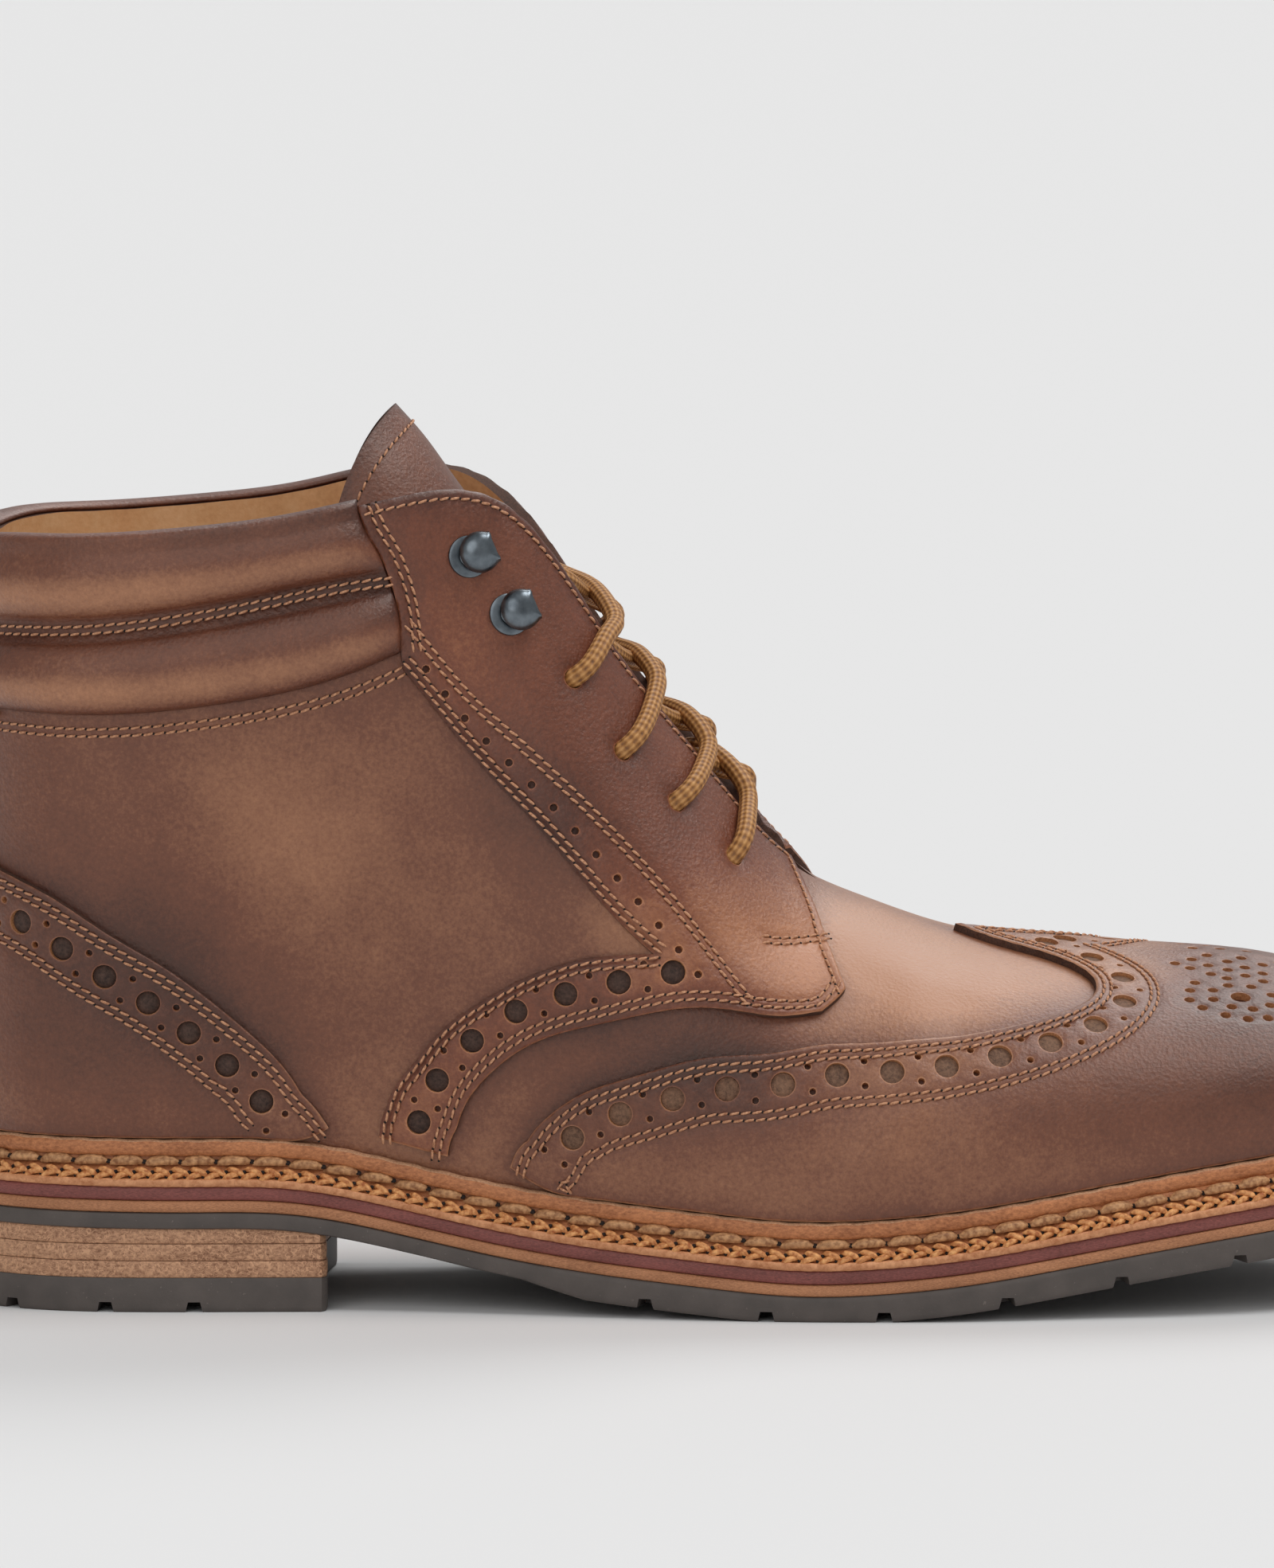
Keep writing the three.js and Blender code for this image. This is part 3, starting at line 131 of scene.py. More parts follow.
class NaturalSpline:
    """A natural cubic spline through rows of named or plain columns."""

    def __init__(self, keys: Sequence[float], rows: Sequence[Sequence[float]]) -> None:
        """Solves the spline.

        Args:
            keys: Increasing positions, one for each row.
            rows: The rows of values.
        """
        self.keys = np.asarray(keys, float)
        self.rows = np.asarray(rows, float)
        n = len(self.keys)
        step = np.diff(self.keys)
        system = np.eye(n)
        right = np.zeros_like(self.rows)
        for i in range(1, n - 1):
            system[i, i - 1:i + 2] = (step[i - 1], 2 * (step[i - 1] + step[i]), step[i])
            before, after = (self.rows[k + 1] - self.rows[k] for k in (i - 1, i))
            right[i] = 6 * (after / step[i] - before / step[i - 1])
        self.bend = np.linalg.solve(system, right)

    def __call__(self, at: Array | float) -> Array:
        """Evaluates every column.

        Args:
            at: Positions, clamped to the keys' range by extension of the end spans.

        Returns:
            One row of columns for each position.
        """
        at = np.atleast_1d(np.asarray(at, float))
        i = np.clip(np.searchsorted(self.keys, at, side="right") - 1, 0, len(self.keys) - 2)
        span = (self.keys[i + 1] - self.keys[i])[:, None]
        a = (self.keys[i + 1] - at)[:, None] / span
        b = 1 - a
        curve = ((a ** 3 - a) * self.bend[i] + (b ** 3 - b) * self.bend[i + 1]) * span ** 2 / 6
        return a * self.rows[i] + b * self.rows[i + 1] + curve


BED = NaturalSpline([row[0] * LAST_LENGTH for row in BED_ROWS], [row[1:] for row in BED_ROWS])


def bed(x: Array | float) -> Array:
    """Height of the upper's underside over the floor.

    Args:
        x: Places along the boot in mm.

    Returns:
        Heights in mm.
    """
    shares = BED(x)
    return SOLE_LIFT + HEEL_PITCH * shares[:, 0] + TOE_SPRING * shares[:, 1]


def bezier(a: Array, b: Array, c: Array, d: Array, u: Array) -> Array:
    """A cubic with the end points a and d and the handles b and c, at u."""
    return (1 - u) ** 3 * a + 3 * (1 - u) ** 2 * u * b + 3 * (1 - u) * u * u * c + u ** 3 * d


def smoothstep(x: Array, low: float, high: float) -> Array:
    """A soft step from 0 at low to 1 at high."""
    share = np.clip((x - low) / (high - low), 0, 1)
    return share * share * (3 - 2 * share)


def unit(vectors: Array) -> Array:
    """Vectors at length one."""
    return vectors / np.maximum(np.linalg.norm(vectors, axis=-1, keepdims=True), 1e-9)


@dataclass(frozen=True)
class Crease:
    """A soft trough (depth over 0) or ridge (depth under 0) laid across the upper."""

    ends: tuple[Point2, Point2, Point2]
    depth: float
    width: float
    sides: tuple[Side, ...] = BOTH


CREASES = (
    Crease(((0.556, 0.30), (0.572, 0.48), (0.590, 0.70)), 0.35, 5.0),
    Crease(((0.590, 0.30), (0.606, 0.50), (0.618, 0.74)), -0.25, 5.0),
    Crease(((0.618, 0.34), (0.632, 0.50), (0.640, 0.70)), 0.25, 4.5),
    Crease(((0.225, 0.62), (0.262, 0.66), (0.300, 0.70)), 0.45, 8.0),
    Crease(((0.215, 0.50), (0.262, 0.55), (0.310, 0.58)), -0.35, 9.0),
    Crease(((0.325, 0.90), (0.345, 0.84), (0.372, 0.79)), 0.40, 6.0),
    Crease(((0.385, 0.80), (0.420, 0.77), (0.455, 0.74)), -0.25, 6.0),
    Crease(((0.495, 0.66), (0.520, 0.71), (0.545, 0.76)), 0.45, 6.0),
)


class Last:
    """The form that the boot was made on: its outer face, normals and stations."""

    def __init__(self) -> None:
        """Lays the rows along the lateral feather line."""
        rows = np.array(LAST_ROWS, float)
        turn = np.radians(rows[:, 2])
        reach = rows[:, 3] * BALL_WIDTH
        plan = np.stack([rows[:, 0] * LAST_LENGTH + reach * np.cos(turn),
                         rows[:, 1] * BALL_WIDTH - reach * np.sin(turn)], 1)
        run = np.concatenate([[0], np.cumsum(np.hypot(*np.diff(plan, axis=0).T))])
        self.row_t = run / run[-1]
        self.throat_t = float(self.row_t[THROAT_ROW])
        self.spline = NaturalSpline(self.row_t, rows)
        self.crease_runs = [(crease, self._crease_run(crease)) for crease in CREASES]

    def row(self, t: Array) -> dict[str, Array]:
        """The columns of the table at t, by name."""
        return dict(zip(LAST_COLUMNS, self.spline(t).T))

    def face(self, t: Array, v: Array, side: Side) -> Array:
        """Points of the upper's outer face.

        Args:
            t: Shares round the feather line, 0 at the back of the heel and 1 at the toe.
            v: Shares from the feather line to the top.
            side: Which half.

        Returns:
            Points in mm.
        """
        t, v = np.broadcast_arrays(np.atleast_1d(np.asarray(t, float)), np.asarray(v, float))
        row = self.row(t)
        letter = "L" if side is Side.LATERAL else "M"
        turn = np.radians(row["turn"])
        slope = np.radians(row["lean" + letter])
        is_open = t < self.throat_t
        r0 = row["foot" + letter] * BALL_WIDTH
        r1 = row["belly" + letter] * BALL_WIDTH
        r2 = np.where(is_open, row["rim" + letter] * BALL_WIDTH, 0)
        x = row["along"] * LAST_LENGTH
        z0 = bed(x + r0 * np.cos(turn))
        z1 = z0 + row["belly"] * VAMP_HEIGHT
        lift = np.where(is_open & (side is Side.MEDIAL), row["rise"], 0)
        spine = bed(x + (row["footL"] + row["footM"]) / 2 * BALL_WIDTH * np.cos(turn))
        z2 = spine + (row["shaft"] + lift) * SHAFT_HEIGHT + row["vamp"] * VAMP_HEIGHT
        u = np.clip(v / BELLY_SHARE, 0, 1)
        low_reach = bezier(r0, r0 + 0.75 * (r1 - r0), r1, r1, u)
        low_z = bezier(z0, z0 + 0.35 * (z1 - z0), z1 - 0.4 * (z1 - z0), z1, u)
        u = np.clip((v - BELLY_SHARE) / (1 - BELLY_SHARE), 0, 1)
        arm = row["round"] * ((r1 - r2) * np.cos(slope) + (z2 - z1) * np.sin(slope))
        high_reach = bezier(r1, r1, r2 + arm * np.cos(slope), r2, u)
        high_z = bezier(z1, z1 + row["wall"] * (z2 - z1), z2 - arm * np.sin(slope), z2, u)
        reach = np.where(v < BELLY_SHARE, low_reach, high_reach)
        z = np.where(v < BELLY_SHARE, low_z, high_z)
        y = row["sway"] * BALL_WIDTH + side.value * reach * np.sin(turn)
        return np.stack([x + reach * np.cos(turn), y, z], -1)

    def tangents(self, t: Array, v: Array, side: Side) -> tuple[Array, Array]:
        """The face's derivatives by t and by v, in mm."""
        step = 1e-4
        t, v = np.broadcast_arrays(np.atleast_1d(np.asarray(t, float)), np.asarray(v, float))
        t0, t1 = np.maximum(t - step, 0), np.minimum(t + step, 1)
        v0, v1 = np.maximum(v - step, 0), np.minimum(v + step, 1)
        by_t = (self.face(t1, v, side) - self.face(t0, v, side)) / (t1 - t0)[:, None]
        by_v = (self.face(t, v1, side) - self.face(t, v0, side)) / (v1 - v0)[:, None]
        return by_t, by_v

    def normal(self, t: Array, v: Array, side: Side) -> Array:
        """Outward unit normals, shared by both sides where they meet."""
        t, v = np.broadcast_arrays(np.atleast_1d(np.asarray(t, float)), np.asarray(v, float))

        def one(which: Side) -> Array:
            by_t, by_v = self.tangents(t, v, which)
            return unit(np.cross(by_t, by_v) * -which.value)

        n = one(side)
        meets = (t < 1e-6) | (t > 1 - 1e-6) | ((v > 1 - 1e-6) & (t > self.throat_t - 1e-6))
        if meets.any():
            n = np.where(meets[:, None], unit(n + one(side.other)), n)
        return n

    def trace(self, run: Array, side: Side) -> Array:
        """Points of the face along a run of (t, v) pairs."""
        return self.face(run[:, 0], np.clip(run[:, 1], 0, 1), side)

    def _crease_run(self, crease: Crease) -> Array:
        """Points along a crease in the sheet's mm."""
        keys = [0, 0.5, 1]
        return NaturalSpline(keys, crease.ends)(np.linspace(0, 1, 25)) * (SHEET_T, SHEET_V)

    def relief(self, t: Array, v: Array, side: Side) -> Array:
        """How far the creases lift (over 0) or sink the skin, in mm."""
        t, v = np.broadcast_arrays(np.atleast_1d(np.asarray(t, float)), np.asarray(v, float))
        at = np.stack([t * SHEET_T, v * SHEET_V], 1)
        out = np.zeros(len(at))
        for crease, run in self.crease_runs:
            if side not in crease.sides:
                continue
            away = np.sqrt(((at[:, None] - run[None]) ** 2).sum(2)).min(1)
            out -= crease.depth * np.exp(-(away / crease.width) ** 2)
        return out

    def skin(self, t: Array, v: Array, side: Side, off: Array | float) -> Array:
        """Points that stand off the creased skin by off mm along its normal."""
        lift = self.relief(t, v, side) + off
        return self.face(t, v, side) + self.normal(t, v, side) * lift[:, None]

    def share_at_height(self, t: Array, side: Side, height: float) -> Array:
        """The shares v at which the face stands a height in mm over the feather line."""
        t = np.atleast_1d(np.asarray(t, float))
        goal = self.face(t, 0.0, side)[:, 2] + height
        low, high = np.zeros_like(t), np.ones_like(t)
        for _ in range(26):
            middle = (low + high) / 2
            under = self.face(t, middle, side)[:, 2] < goal
            low, high = np.where(under, middle, low), np.where(under, high, middle)
        return low

    def shift(self, t: Array, v: Array, side: Side, moves: Array) -> Array:
        """Moves places on the sheet by vectors in mm that lie in the skin.

        Args:
            t: Shares round the feather line.
            v: Shares up the skin.
            side: Which half.
            moves: One vector in mm for each place.

        Returns:
            The new (t, v) pairs.
        """
        by_t, by_v = self.tangents(t, v, side)
        tt, tv, vv = (by_t ** 2).sum(1), (by_t * by_v).sum(1), (by_v ** 2).sum(1)
        mt, mv = (moves * by_t).sum(1), (moves * by_v).sum(1)
        det = np.maximum(tt * vv - tv ** 2, 1e-9)
        return np.stack([t + (mt * vv - mv * tv) / det, v + (mv * tt - mt * tv) / det], 1)

    def beside(self, run: Array, side: Side, away: float) -> Array:
        """A run moved sideways in the skin.

        Args:
            run: (t, v) pairs in order.
            side: Which half.
            away: mm to the left of the run's direction in the sheet (over 0) or to the right.

        Returns:
            The moved (t, v) pairs.
        """
        t, v = run[:, 0], np.clip(run[:, 1], 0, 1)
        points = self.face(t, v, side)
        way = np.cross(self.normal(t, v, side), np.gradient(points, axis=0)) * -side.value
        steps = max(round(abs(away) / 3), 1)
        moved = run
        for _ in range(steps):
            t, v = moved[:, 0], np.clip(moved[:, 1], 0, 1)
            normal = self.normal(t, v, side)
            way = unit(way - normal * (way * normal).sum(1, keepdims=True))
            moved = self.shift(t, v, side, way * away / steps)
        return moved[nearest(self.trace(moved, side), points) > abs(away) * 0.95]

    def locate(self, x: float, y: float, side: Side) -> Point2:
        """The (t, v) of the skin over one place in plan, on its upper half.

        Args:
            x: Place along the boot in mm.
            y: Place across the boot in mm.
            side: Which half.

        Returns:
            The (t, v) pair.
        """
        t, v = np.meshgrid(np.linspace(0.6, 1, 120), np.linspace(0.3, 1, 90), indexing="ij")
        points = self.face(t.ravel(), v.ravel(), side)
        best = int(((points[:, :2] - (x, y)) ** 2).sum(1).argmin())
        return float(t.ravel()[best]), float(v.ravel()[best])


SHEET_T = 330.0
SHEET_V = 130.0
LAST = Last()


def curve_run(points: Sequence[Point2], step: float = 1.1) -> Array:
    """A smooth run through chosen places.

    Args:
        points: Chosen (t, v) places.
        step: Spacing of the run in the sheet's mm.

    Returns:
        (t, v) pairs from the first place to the last.
    """
    places = np.array(points, float)
    legs = np.hypot(*(np.diff(places, axis=0) * (SHEET_T, SHEET_V)).T)
    keys = np.concatenate([[0], np.cumsum(legs)])
    count = max(int(math.ceil(keys[-1] / step)), 2)
    if len(places) == 2:
        return places[0] + np.linspace(0, 1, count + 1)[:, None] * (places[1] - places[0])
    return NaturalSpline(keys, places)(np.linspace(0, keys[-1], count + 1))


def respace(points: Array, pitch: float) -> Array:
    """Spaces a polyline evenly.

    Args:
        points: Points in any number of axes, the first three measured.
        pitch: Wanted spacing.

    Returns:
        The new points, ends kept.
    """
    legs = np.linalg.norm(np.diff(points[:, :3], axis=0), axis=1)
    keys = np.concatenate([[0], np.cumsum(legs)])
    count = max(int(round(keys[-1] / pitch)), 1)
    at = np.linspace(0, keys[-1], count + 1)
    return np.stack([np.interp(at, keys, column) for column in points.T], 1)


def nearest(points: Array, targets: Array, sizes: Array | None = None) -> Array:
    """Distance in mm of each point to the nearest target, less that target's size."""
    if not len(targets):
        return np.full(len(points), 1e3)
    tree = KDTree(len(targets))
    for i, target in enumerate(targets):
        tree.insert(target, i)
    tree.balance()
    found = [tree.find(point) for point in points]
    return np.array([distance - (0 if sizes is None else sizes[i]) for _, i, distance in found])


def in_space(points: Array) -> Array:
    """Points of the plane as 3D points."""
    return np.pad(points, ((0, 0), (0, 1)))


def turns_left(loop: Array) -> bool:
    """Whether a closed loop of the plane runs counter-clockwise."""
    return bool(np.cross(loop, np.roll(loop, -1, axis=0)).sum() > 0)


def inside(points: Array, loop: Array) -> Array:
    """Which points of the plane lie inside a closed loop."""
    x, y = points[:, 0:1], points[:, 1:2]
    x0, y0 = loop[:, 0], loop[:, 1]
    x1, y1 = np.roll(x0, -1), np.roll(y0, -1)
    crosses = (y0 > y) != (y1 > y)
    with np.errstate(divide="ignore", invalid="ignore"):
        at = (x1 - x0) * (y - y0) / (y1 - y0) + x0
    return (crosses & (x < at)).sum(1) % 2 == 1


def plane_mesh(loops: Sequence[Array], loose: Array) -> tuple[Array, Array]:
    """Fills closed loops of the plane, the inner ones as holes.

    Args:
        loops: Closed loops, each an ordered list of 2D points.
        loose: Inner points of the mesh.

    Returns:
        The points, the loops' own first and in order, and the triangles.
    """
    points = np.concatenate([*loops, loose]) if len(loose) else np.concatenate(loops)
    edges = []
    base = 0
    for loop in loops:
        n = len(loop)
        edges += [(base + k, base + (k + 1) % n) for k in range(n)]
        base += n
    found = delaunay_2d_cdt([Vector(p) for p in points], edges, [], 0, 1e-7, True)
    out = np.array([tuple(p) for p in found[0]])
    back = np.array([origin[0] if origin else -1 for origin in found[3]])
    order = np.where(back < 0, len(points) + np.arange(len(back)), back)
    places = np.full((max(len(points), int(order.max()) + 1), 2), np.nan)
    places[order] = out
    triangles = np.array([[order[i] for i in face] for face in found[2]])
    flat = places[triangles]
    middle = flat.mean(1)
    kept = inside(middle, loops[0])
    for loop in loops[1:]:
        near = kept & (np.abs(middle - loop.mean(0)).max(1) < 4 * np.ptp(loop, axis=0).max())
        kept[near] &= ~inside(middle[near], loop)
    triangles, flat = triangles[kept], flat[kept]
    turned = np.cross(flat[:, 1] - flat[:, 0], flat[:, 2] - flat[:, 0]) < 0
    triangles[turned] = triangles[turned][:, ::-1]
    return places, triangles


def make_piece(name: str, points: Array, faces: Iterable[Sequence[int]],
               materials: Sequence[bpy.types.Material], slots: Sequence[int] | None = None,
               values: dict[str, Array] | None = None,
               weld: float = 0.0, sharp: float = 50.0) -> bpy.types.Object:
    """Makes a mesh object from points in mm.

    Args:
        name: The piece's name.
        points: Points in mm.
        faces: Faces, turned outwards.
        materials: Materials of the piece.
        slots: The material of each face.
        values: Named numbers, one for each point.
        weld: Distance in mm under which points join.
        sharp: Angle in degrees over which an edge stays sharp.

    Returns:
        The new object, at the origin.
    """
    mesh = bpy.data.meshes.new(name)
    mesh.from_pydata((np.asarray(points) * MM).tolist(), [], [list(map(int, f)) for f in faces])
    for material in materials:
        mesh.materials.append(material)
    if slots is not None:
        mesh.polygons.foreach_set("material_index", np.asarray(slots, dtype=np.int32))
    for key, numbers in (values or {}).items():
        layer = mesh.attributes.new(key, "FLOAT", "POINT")
        layer.data.foreach_set("value", np.asarray(numbers, dtype=np.float32))
    if weld:
        work = bmesh.new()
        work.from_mesh(mesh)
        bmesh.ops.remove_doubles(work, verts=work.verts, dist=weld * MM)
        work.to_mesh(mesh)
        work.free()
    mesh.polygons.foreach_set("use_smooth", [True] * len(mesh.polygons))
    mesh.update()
    mesh.set_sharp_from_angle(angle=math.radians(sharp))
    return place_object(name, mesh)


def place_object(name: str, data: bpy.types.ID) -> bpy.types.Object:
    """Puts a mesh, lamp or camera into the scene."""
    placed = bpy.data.objects.new(name, data)
    bpy.context.scene.collection.objects.link(placed)
    return placed


def applied(piece: bpy.types.Object) -> bpy.types.Mesh:
    """A piece's mesh with its modifiers applied."""
    graph = bpy.context.evaluated_depsgraph_get()
    return bpy.data.meshes.new_from_object(piece.evaluated_get(graph))


def turn_outwards(mesh: bpy.types.Mesh) -> None:
    """Turns every face of a closed mesh outwards."""
    work = bmesh.new()
    work.from_mesh(mesh)
    bmesh.ops.recalc_face_normals(work, faces=work.faces)
    work.to_mesh(mesh)
    work.free()


def settle(piece: bpy.types.Object, slot: str, *nodes: str) -> bpy.types.Object:
    """Rides a piece on the boot and hides the nodes that it stands for."""
    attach(piece, BODY)
    if nodes:
        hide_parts(*nodes)
    LOG.info("%s: %d faces", piece.name, len(piece.data.polygons))
    return piece


def grid_faces(rows: int, columns: int, closed_rows: bool = False,
               closed_columns: bool = False) -> list[tuple[int, int, int, int]]:
    """Quads of a grid of points, row after row.

    Args:
        rows: Number of rows.
        columns: Points in a row.
        closed_rows: Whether the last row joins the first.
        closed_columns: Whether each row closes on itself.

    Returns:
        The quads.
    """
    faces = []
    for i in range(rows if closed_rows else rows - 1):
        for j in range(columns if closed_columns else columns - 1):
            a, b, k = i * columns, (i + 1) % rows * columns, (j + 1) % columns
            faces.append((a + j, b + j, b + k, a + k))
    return faces


@dataclass
class Shell:
    """A mesh in the making, gathered part by part."""

    points: list[Array] = field(default_factory=list)
    faces: list[tuple[int, ...]] = field(default_factory=list)
    slots: list[int] = field(default_factory=list)
    shade_and_light: list[list[Array]] = field(default_factory=list)

    def add(self, points: Array, *shade_and_light: Array) -> int:
        """Adds points with their burnishing and painted shade, and their tone and painted light, and returns
        the first one's index.
        """
        base = sum(map(len, self.points))
        self.points.append(points)
        self.shade_and_light.append(list(shade_and_light))
        return base

    def fill(self, faces: Iterable[Sequence[int]], slot: int = 0, base: int = 0, flip: bool = False) -> None:
        """Adds faces of one material, with their indices counted from base."""
        turned = [tuple(base + int(k) for k in face)[::-1 if flip else 1] for face in faces]
        self.faces += turned
        self.slots += [slot] * len(turned)

    def build(self, name: str, materials: Sequence[bpy.types.Material], weld: float = 0.0,
              sharp: float = 50.0) -> bpy.types.Object:
        """Makes the piece, as make_piece does."""
        values = dict(zip(SHADE_AND_LIGHT_KEYS, map(np.concatenate, zip(*self.shade_and_light)))) if self.shade_and_light[0] else None
        points = np.concatenate(self.points)
        return make_piece(name, points, self.faces, materials, self.slots, values, weld, sharp)


def linear(colour: str) -> tuple[float, float, float, float]:
    """An sRGB hex colour as linear RGBA."""
    parts = [int(colour[i:i + 2], 16) / 255 for i in (1, 3, 5)]
    return tuple(c / 12.92 if c <= 0.04045 else ((c + 0.055) / 1.055) ** 2.4 for c in parts) + (1.0,)


class Nodes:
    """Short ways to add nodes to one tree."""

    def __init__(self, tree: bpy.types.NodeTree) -> None:
        """Keeps the tree."""
        self.tree = tree

    def feed(self, node: bpy.types.Node, inputs: dict) -> None:
        """Sets or links inputs of a node, by name or index."""
        for key, value in inputs.items():
            if isinstance(value, Socket):
                self.tree.links.new(value, node.inputs[key])
            else:
                node.inputs[key].default_value = value

    def add(self, kind: str, inputs: dict | None = None, out: str | int = 0, **settings: object) -> Socket:
        """Adds a node.

        Args:
            kind: The node's type name.
            inputs: Values or sockets for its inputs, by name or index.
            out: Which output to return.
            settings: Attributes of the node.

        Returns:
            The chosen output.
        """
        node = self.tree.nodes.new(kind)
        for key, value in settings.items():
            setattr(node, key, value)
        self.feed(node, inputs or {})
        return node.outputs[out]

    def math(self, operation: str, *values: Value) -> Socket:
        """One math step."""
        return self.add("ShaderNodeMath", dict(enumerate(values)), operation=operation)

    def mix(self, base: Value, *terms: tuple[Value, Value]) -> Value:
        """A base plus each socket times its share."""
        for socket, share in terms:
            base = self.math("MULTIPLY_ADD", socket, share, base)
        return base

    def xyz(self, inputs: dict) -> Socket:
        """A vector with some axes set."""
        return self.add("ShaderNodeCombineXYZ", inputs)


class Recipe(Nodes):
    """A material in the making."""

    def __init__(self, name: str) -> None:
        """Starts from a fresh shader."""
        self.material = bpy.data.materials.new(name)
        self.material.use_nodes = True
        super().__init__(self.material.node_tree)
        self.tree.nodes.clear()
        shaded = self.add("ShaderNodeBsdfPrincipled")
        self.shader = shaded.node
        self.feed(self.tree.nodes.new("ShaderNodeOutputMaterial"), {"Surface": shaded})
        self.place = self.add("ShaderNodeTexCoord", out="Object")

    def noise(self, size_mm: float, detail: float = 3.0, rough: float = 0.55,
              vector: Socket | None = None) -> Socket:
        """Noise whose features are about size_mm wide, on object coordinates unless a vector is given."""
        return self.add("ShaderNodeTexNoise", {"Vector": vector or self.place, "Scale": 1 / (size_mm * MM),
                                               "Detail": detail, "Roughness": rough})

    def finish(self, tone: Socket, stops: Stops, roughness: Value, height: Socket | None = None,
               strength: float = 0.5, depth_mm: float = 0.1, **inputs: object) -> bpy.types.Material:
        """Colours and embosses the shader.

        Args:
            tone: What drives the colour.
            stops: The ramp's places and hex colours.
            roughness: A number or a socket.
            height: What drives the bump, if anything.
            strength: Strength of the bump.
            depth_mm: Depth of the bump.
            inputs: More inputs of the shader, with an underline for each space of a name.

        Returns:
            The material.
        """
        colour = self.add("ShaderNodeValToRGB", {"Fac": tone})
        band = colour.node.color_ramp
        while len(band.elements) < len(stops):
            band.elements.new(0.5)
        for element, (place, shade) in zip(band.elements, stops):
            element.position = place
            element.color = linear(shade)
        self.feed(self.shader, {"Base Color": colour, "Roughness": roughness})
        self.feed(self.shader, {key.replace("_", " "): value for key, value in inputs.items()})
        if height is not None:
            bump = self.add("ShaderNodeBump", {"Height": height, "Strength": strength,
                                               "Distance": depth_mm * MM})
            self.feed(self.shader, {"Normal": bump, "Coat Normal": bump})
        return self.material


@dataclass(frozen=True)
class BurnishedLeather:
    """Waxed pull-up calf, drum dyed and burnished by hand: a soft, broad sheen over fine hair-cell grain."""

    name: str = "waxed_calf"
    shades: tuple[str, ...] = ("#28100a", "#472115", "#6d3d29", "#ad7856")
    roughness: float = 0.46
    grain_mm: float = 0.8

    def build(self) -> bpy.types.Material:
        """Makes the material."""
        work = Recipe(self.name)
        # The first attribute darkens the leather for burnishing and for painted shade along edges, seams,
        # holes and between the collar rolls; the second carries its uneven tone plus painted highlights,
        # painted shade on the collar rolls and the painted reflection of the pale floor low down.
        burnish, light_and_tone = (work.add("ShaderNodeAttribute", out="Fac", attribute_name=key) for key in SHADE_AND_LIGHT_KEYS)
        broad, cloudy, fine = work.noise(42, 3, 0.5), work.noise(9, 5, 0.6), work.noise(0.9, 5, 0.75)
        tone = work.mix(-0.05, (cloudy, 0.18), (broad, 0.46), (fine, 0.5), (light_and_tone, 0.34), (burnish, -0.26))
        cells = work.add("ShaderNodeTexVoronoi", {"Vector": work.place, "Scale": 1 / (self.grain_mm * MM)})
        height = work.mix(fine, (cells, 0.6), (work.noise(0.35, 2), 0.35))
        roughness = work.mix(self.roughness - 0.08, (cloudy, 0.16))
        stops = tuple(zip((0.08, 0.32, 0.56, 0.92), self.shades))
        return work.finish(tone, stops, roughness, height, 0.6, 0.2, Specular_IOR_Level=0.55,
                           Specular_Tint=linear("#ffd9c4"), Coat_Weight=0.62, Coat_Roughness=0.36)


@dataclass(frozen=True)
class FibrousLeather:
    """Cut or sanded leather edge: short pale fibres over a stained ground, dull, with faint layers."""

    name: str
    dark: str
    light: str
    roughness: float = 0.68
    stretch: float = 3.0
    fibre_mm: float = 0.7
    depth_mm: float = 0.18
    curls: float = 0.0

    def build(self) -> bpy.types.Material:
        """Makes the material."""
        work = Recipe(self.name)
        flat = work.add("ShaderNodeMapping", {"Vector": work.place, "Scale": (1, 1, self.stretch)})
        fibres = work.noise(self.fibre_mm, 6, 0.7, flat)
        curled = work.add("ShaderNodeTexNoise", {"Vector": work.place, "Scale": 1 / (1.8 * MM), "Detail": 1.0,
                                                 "Distortion": 1.6})
        strands = work.math("COMPARE", curled, 0.5, 0.022)
        tone = work.mix(-0.5, (work.noise(14, 3, 0.5, flat), 0.5), (fibres, 1.5), (strands, self.curls))
        return work.finish(tone, ((0.2, self.dark), (0.75, self.light)), self.roughness, fibres, 0.5,
                           self.depth_mm)


@dataclass(frozen=True)
class Mottled:
    """A finish of one mottled tone: glove lining, twisted thread, plated steel or an awl hole's shadow."""

    name: str
    stops: Stops
    roughness: float
    grain_mm: float
    detail: float = 2.0
    grain_rough: float = 0.55
    grain: float = 1.0
    cloud: float = 0.0
    strength: float = 0.0
    depth_mm: float = 0.15
    metallic: float = 0.0

    def build(self) -> bpy.types.Material:
        """Makes the material."""
        work = Recipe(self.name)
        fine = work.noise(self.grain_mm, self.detail, self.grain_rough)
        tone = work.mix(0, (work.noise(18, 4), self.cloud), (fine, self.grain)) if self.cloud else fine
        return work.finish(tone, self.stops, self.roughness, fine if self.strength else None, self.strength,
                           self.depth_mm, Metallic=self.metallic)


def thread(name: str, dark: str, light: str, twist_mm: float = 0.5) -> bpy.types.Material:
    """Bonded polyester or waxed linen thread: tight twist, dull sheen."""
    return Mottled(name, ((0.3, dark), (0.7, light)), 0.62, twist_mm, grain_rough=0.5, strength=0.5).build()


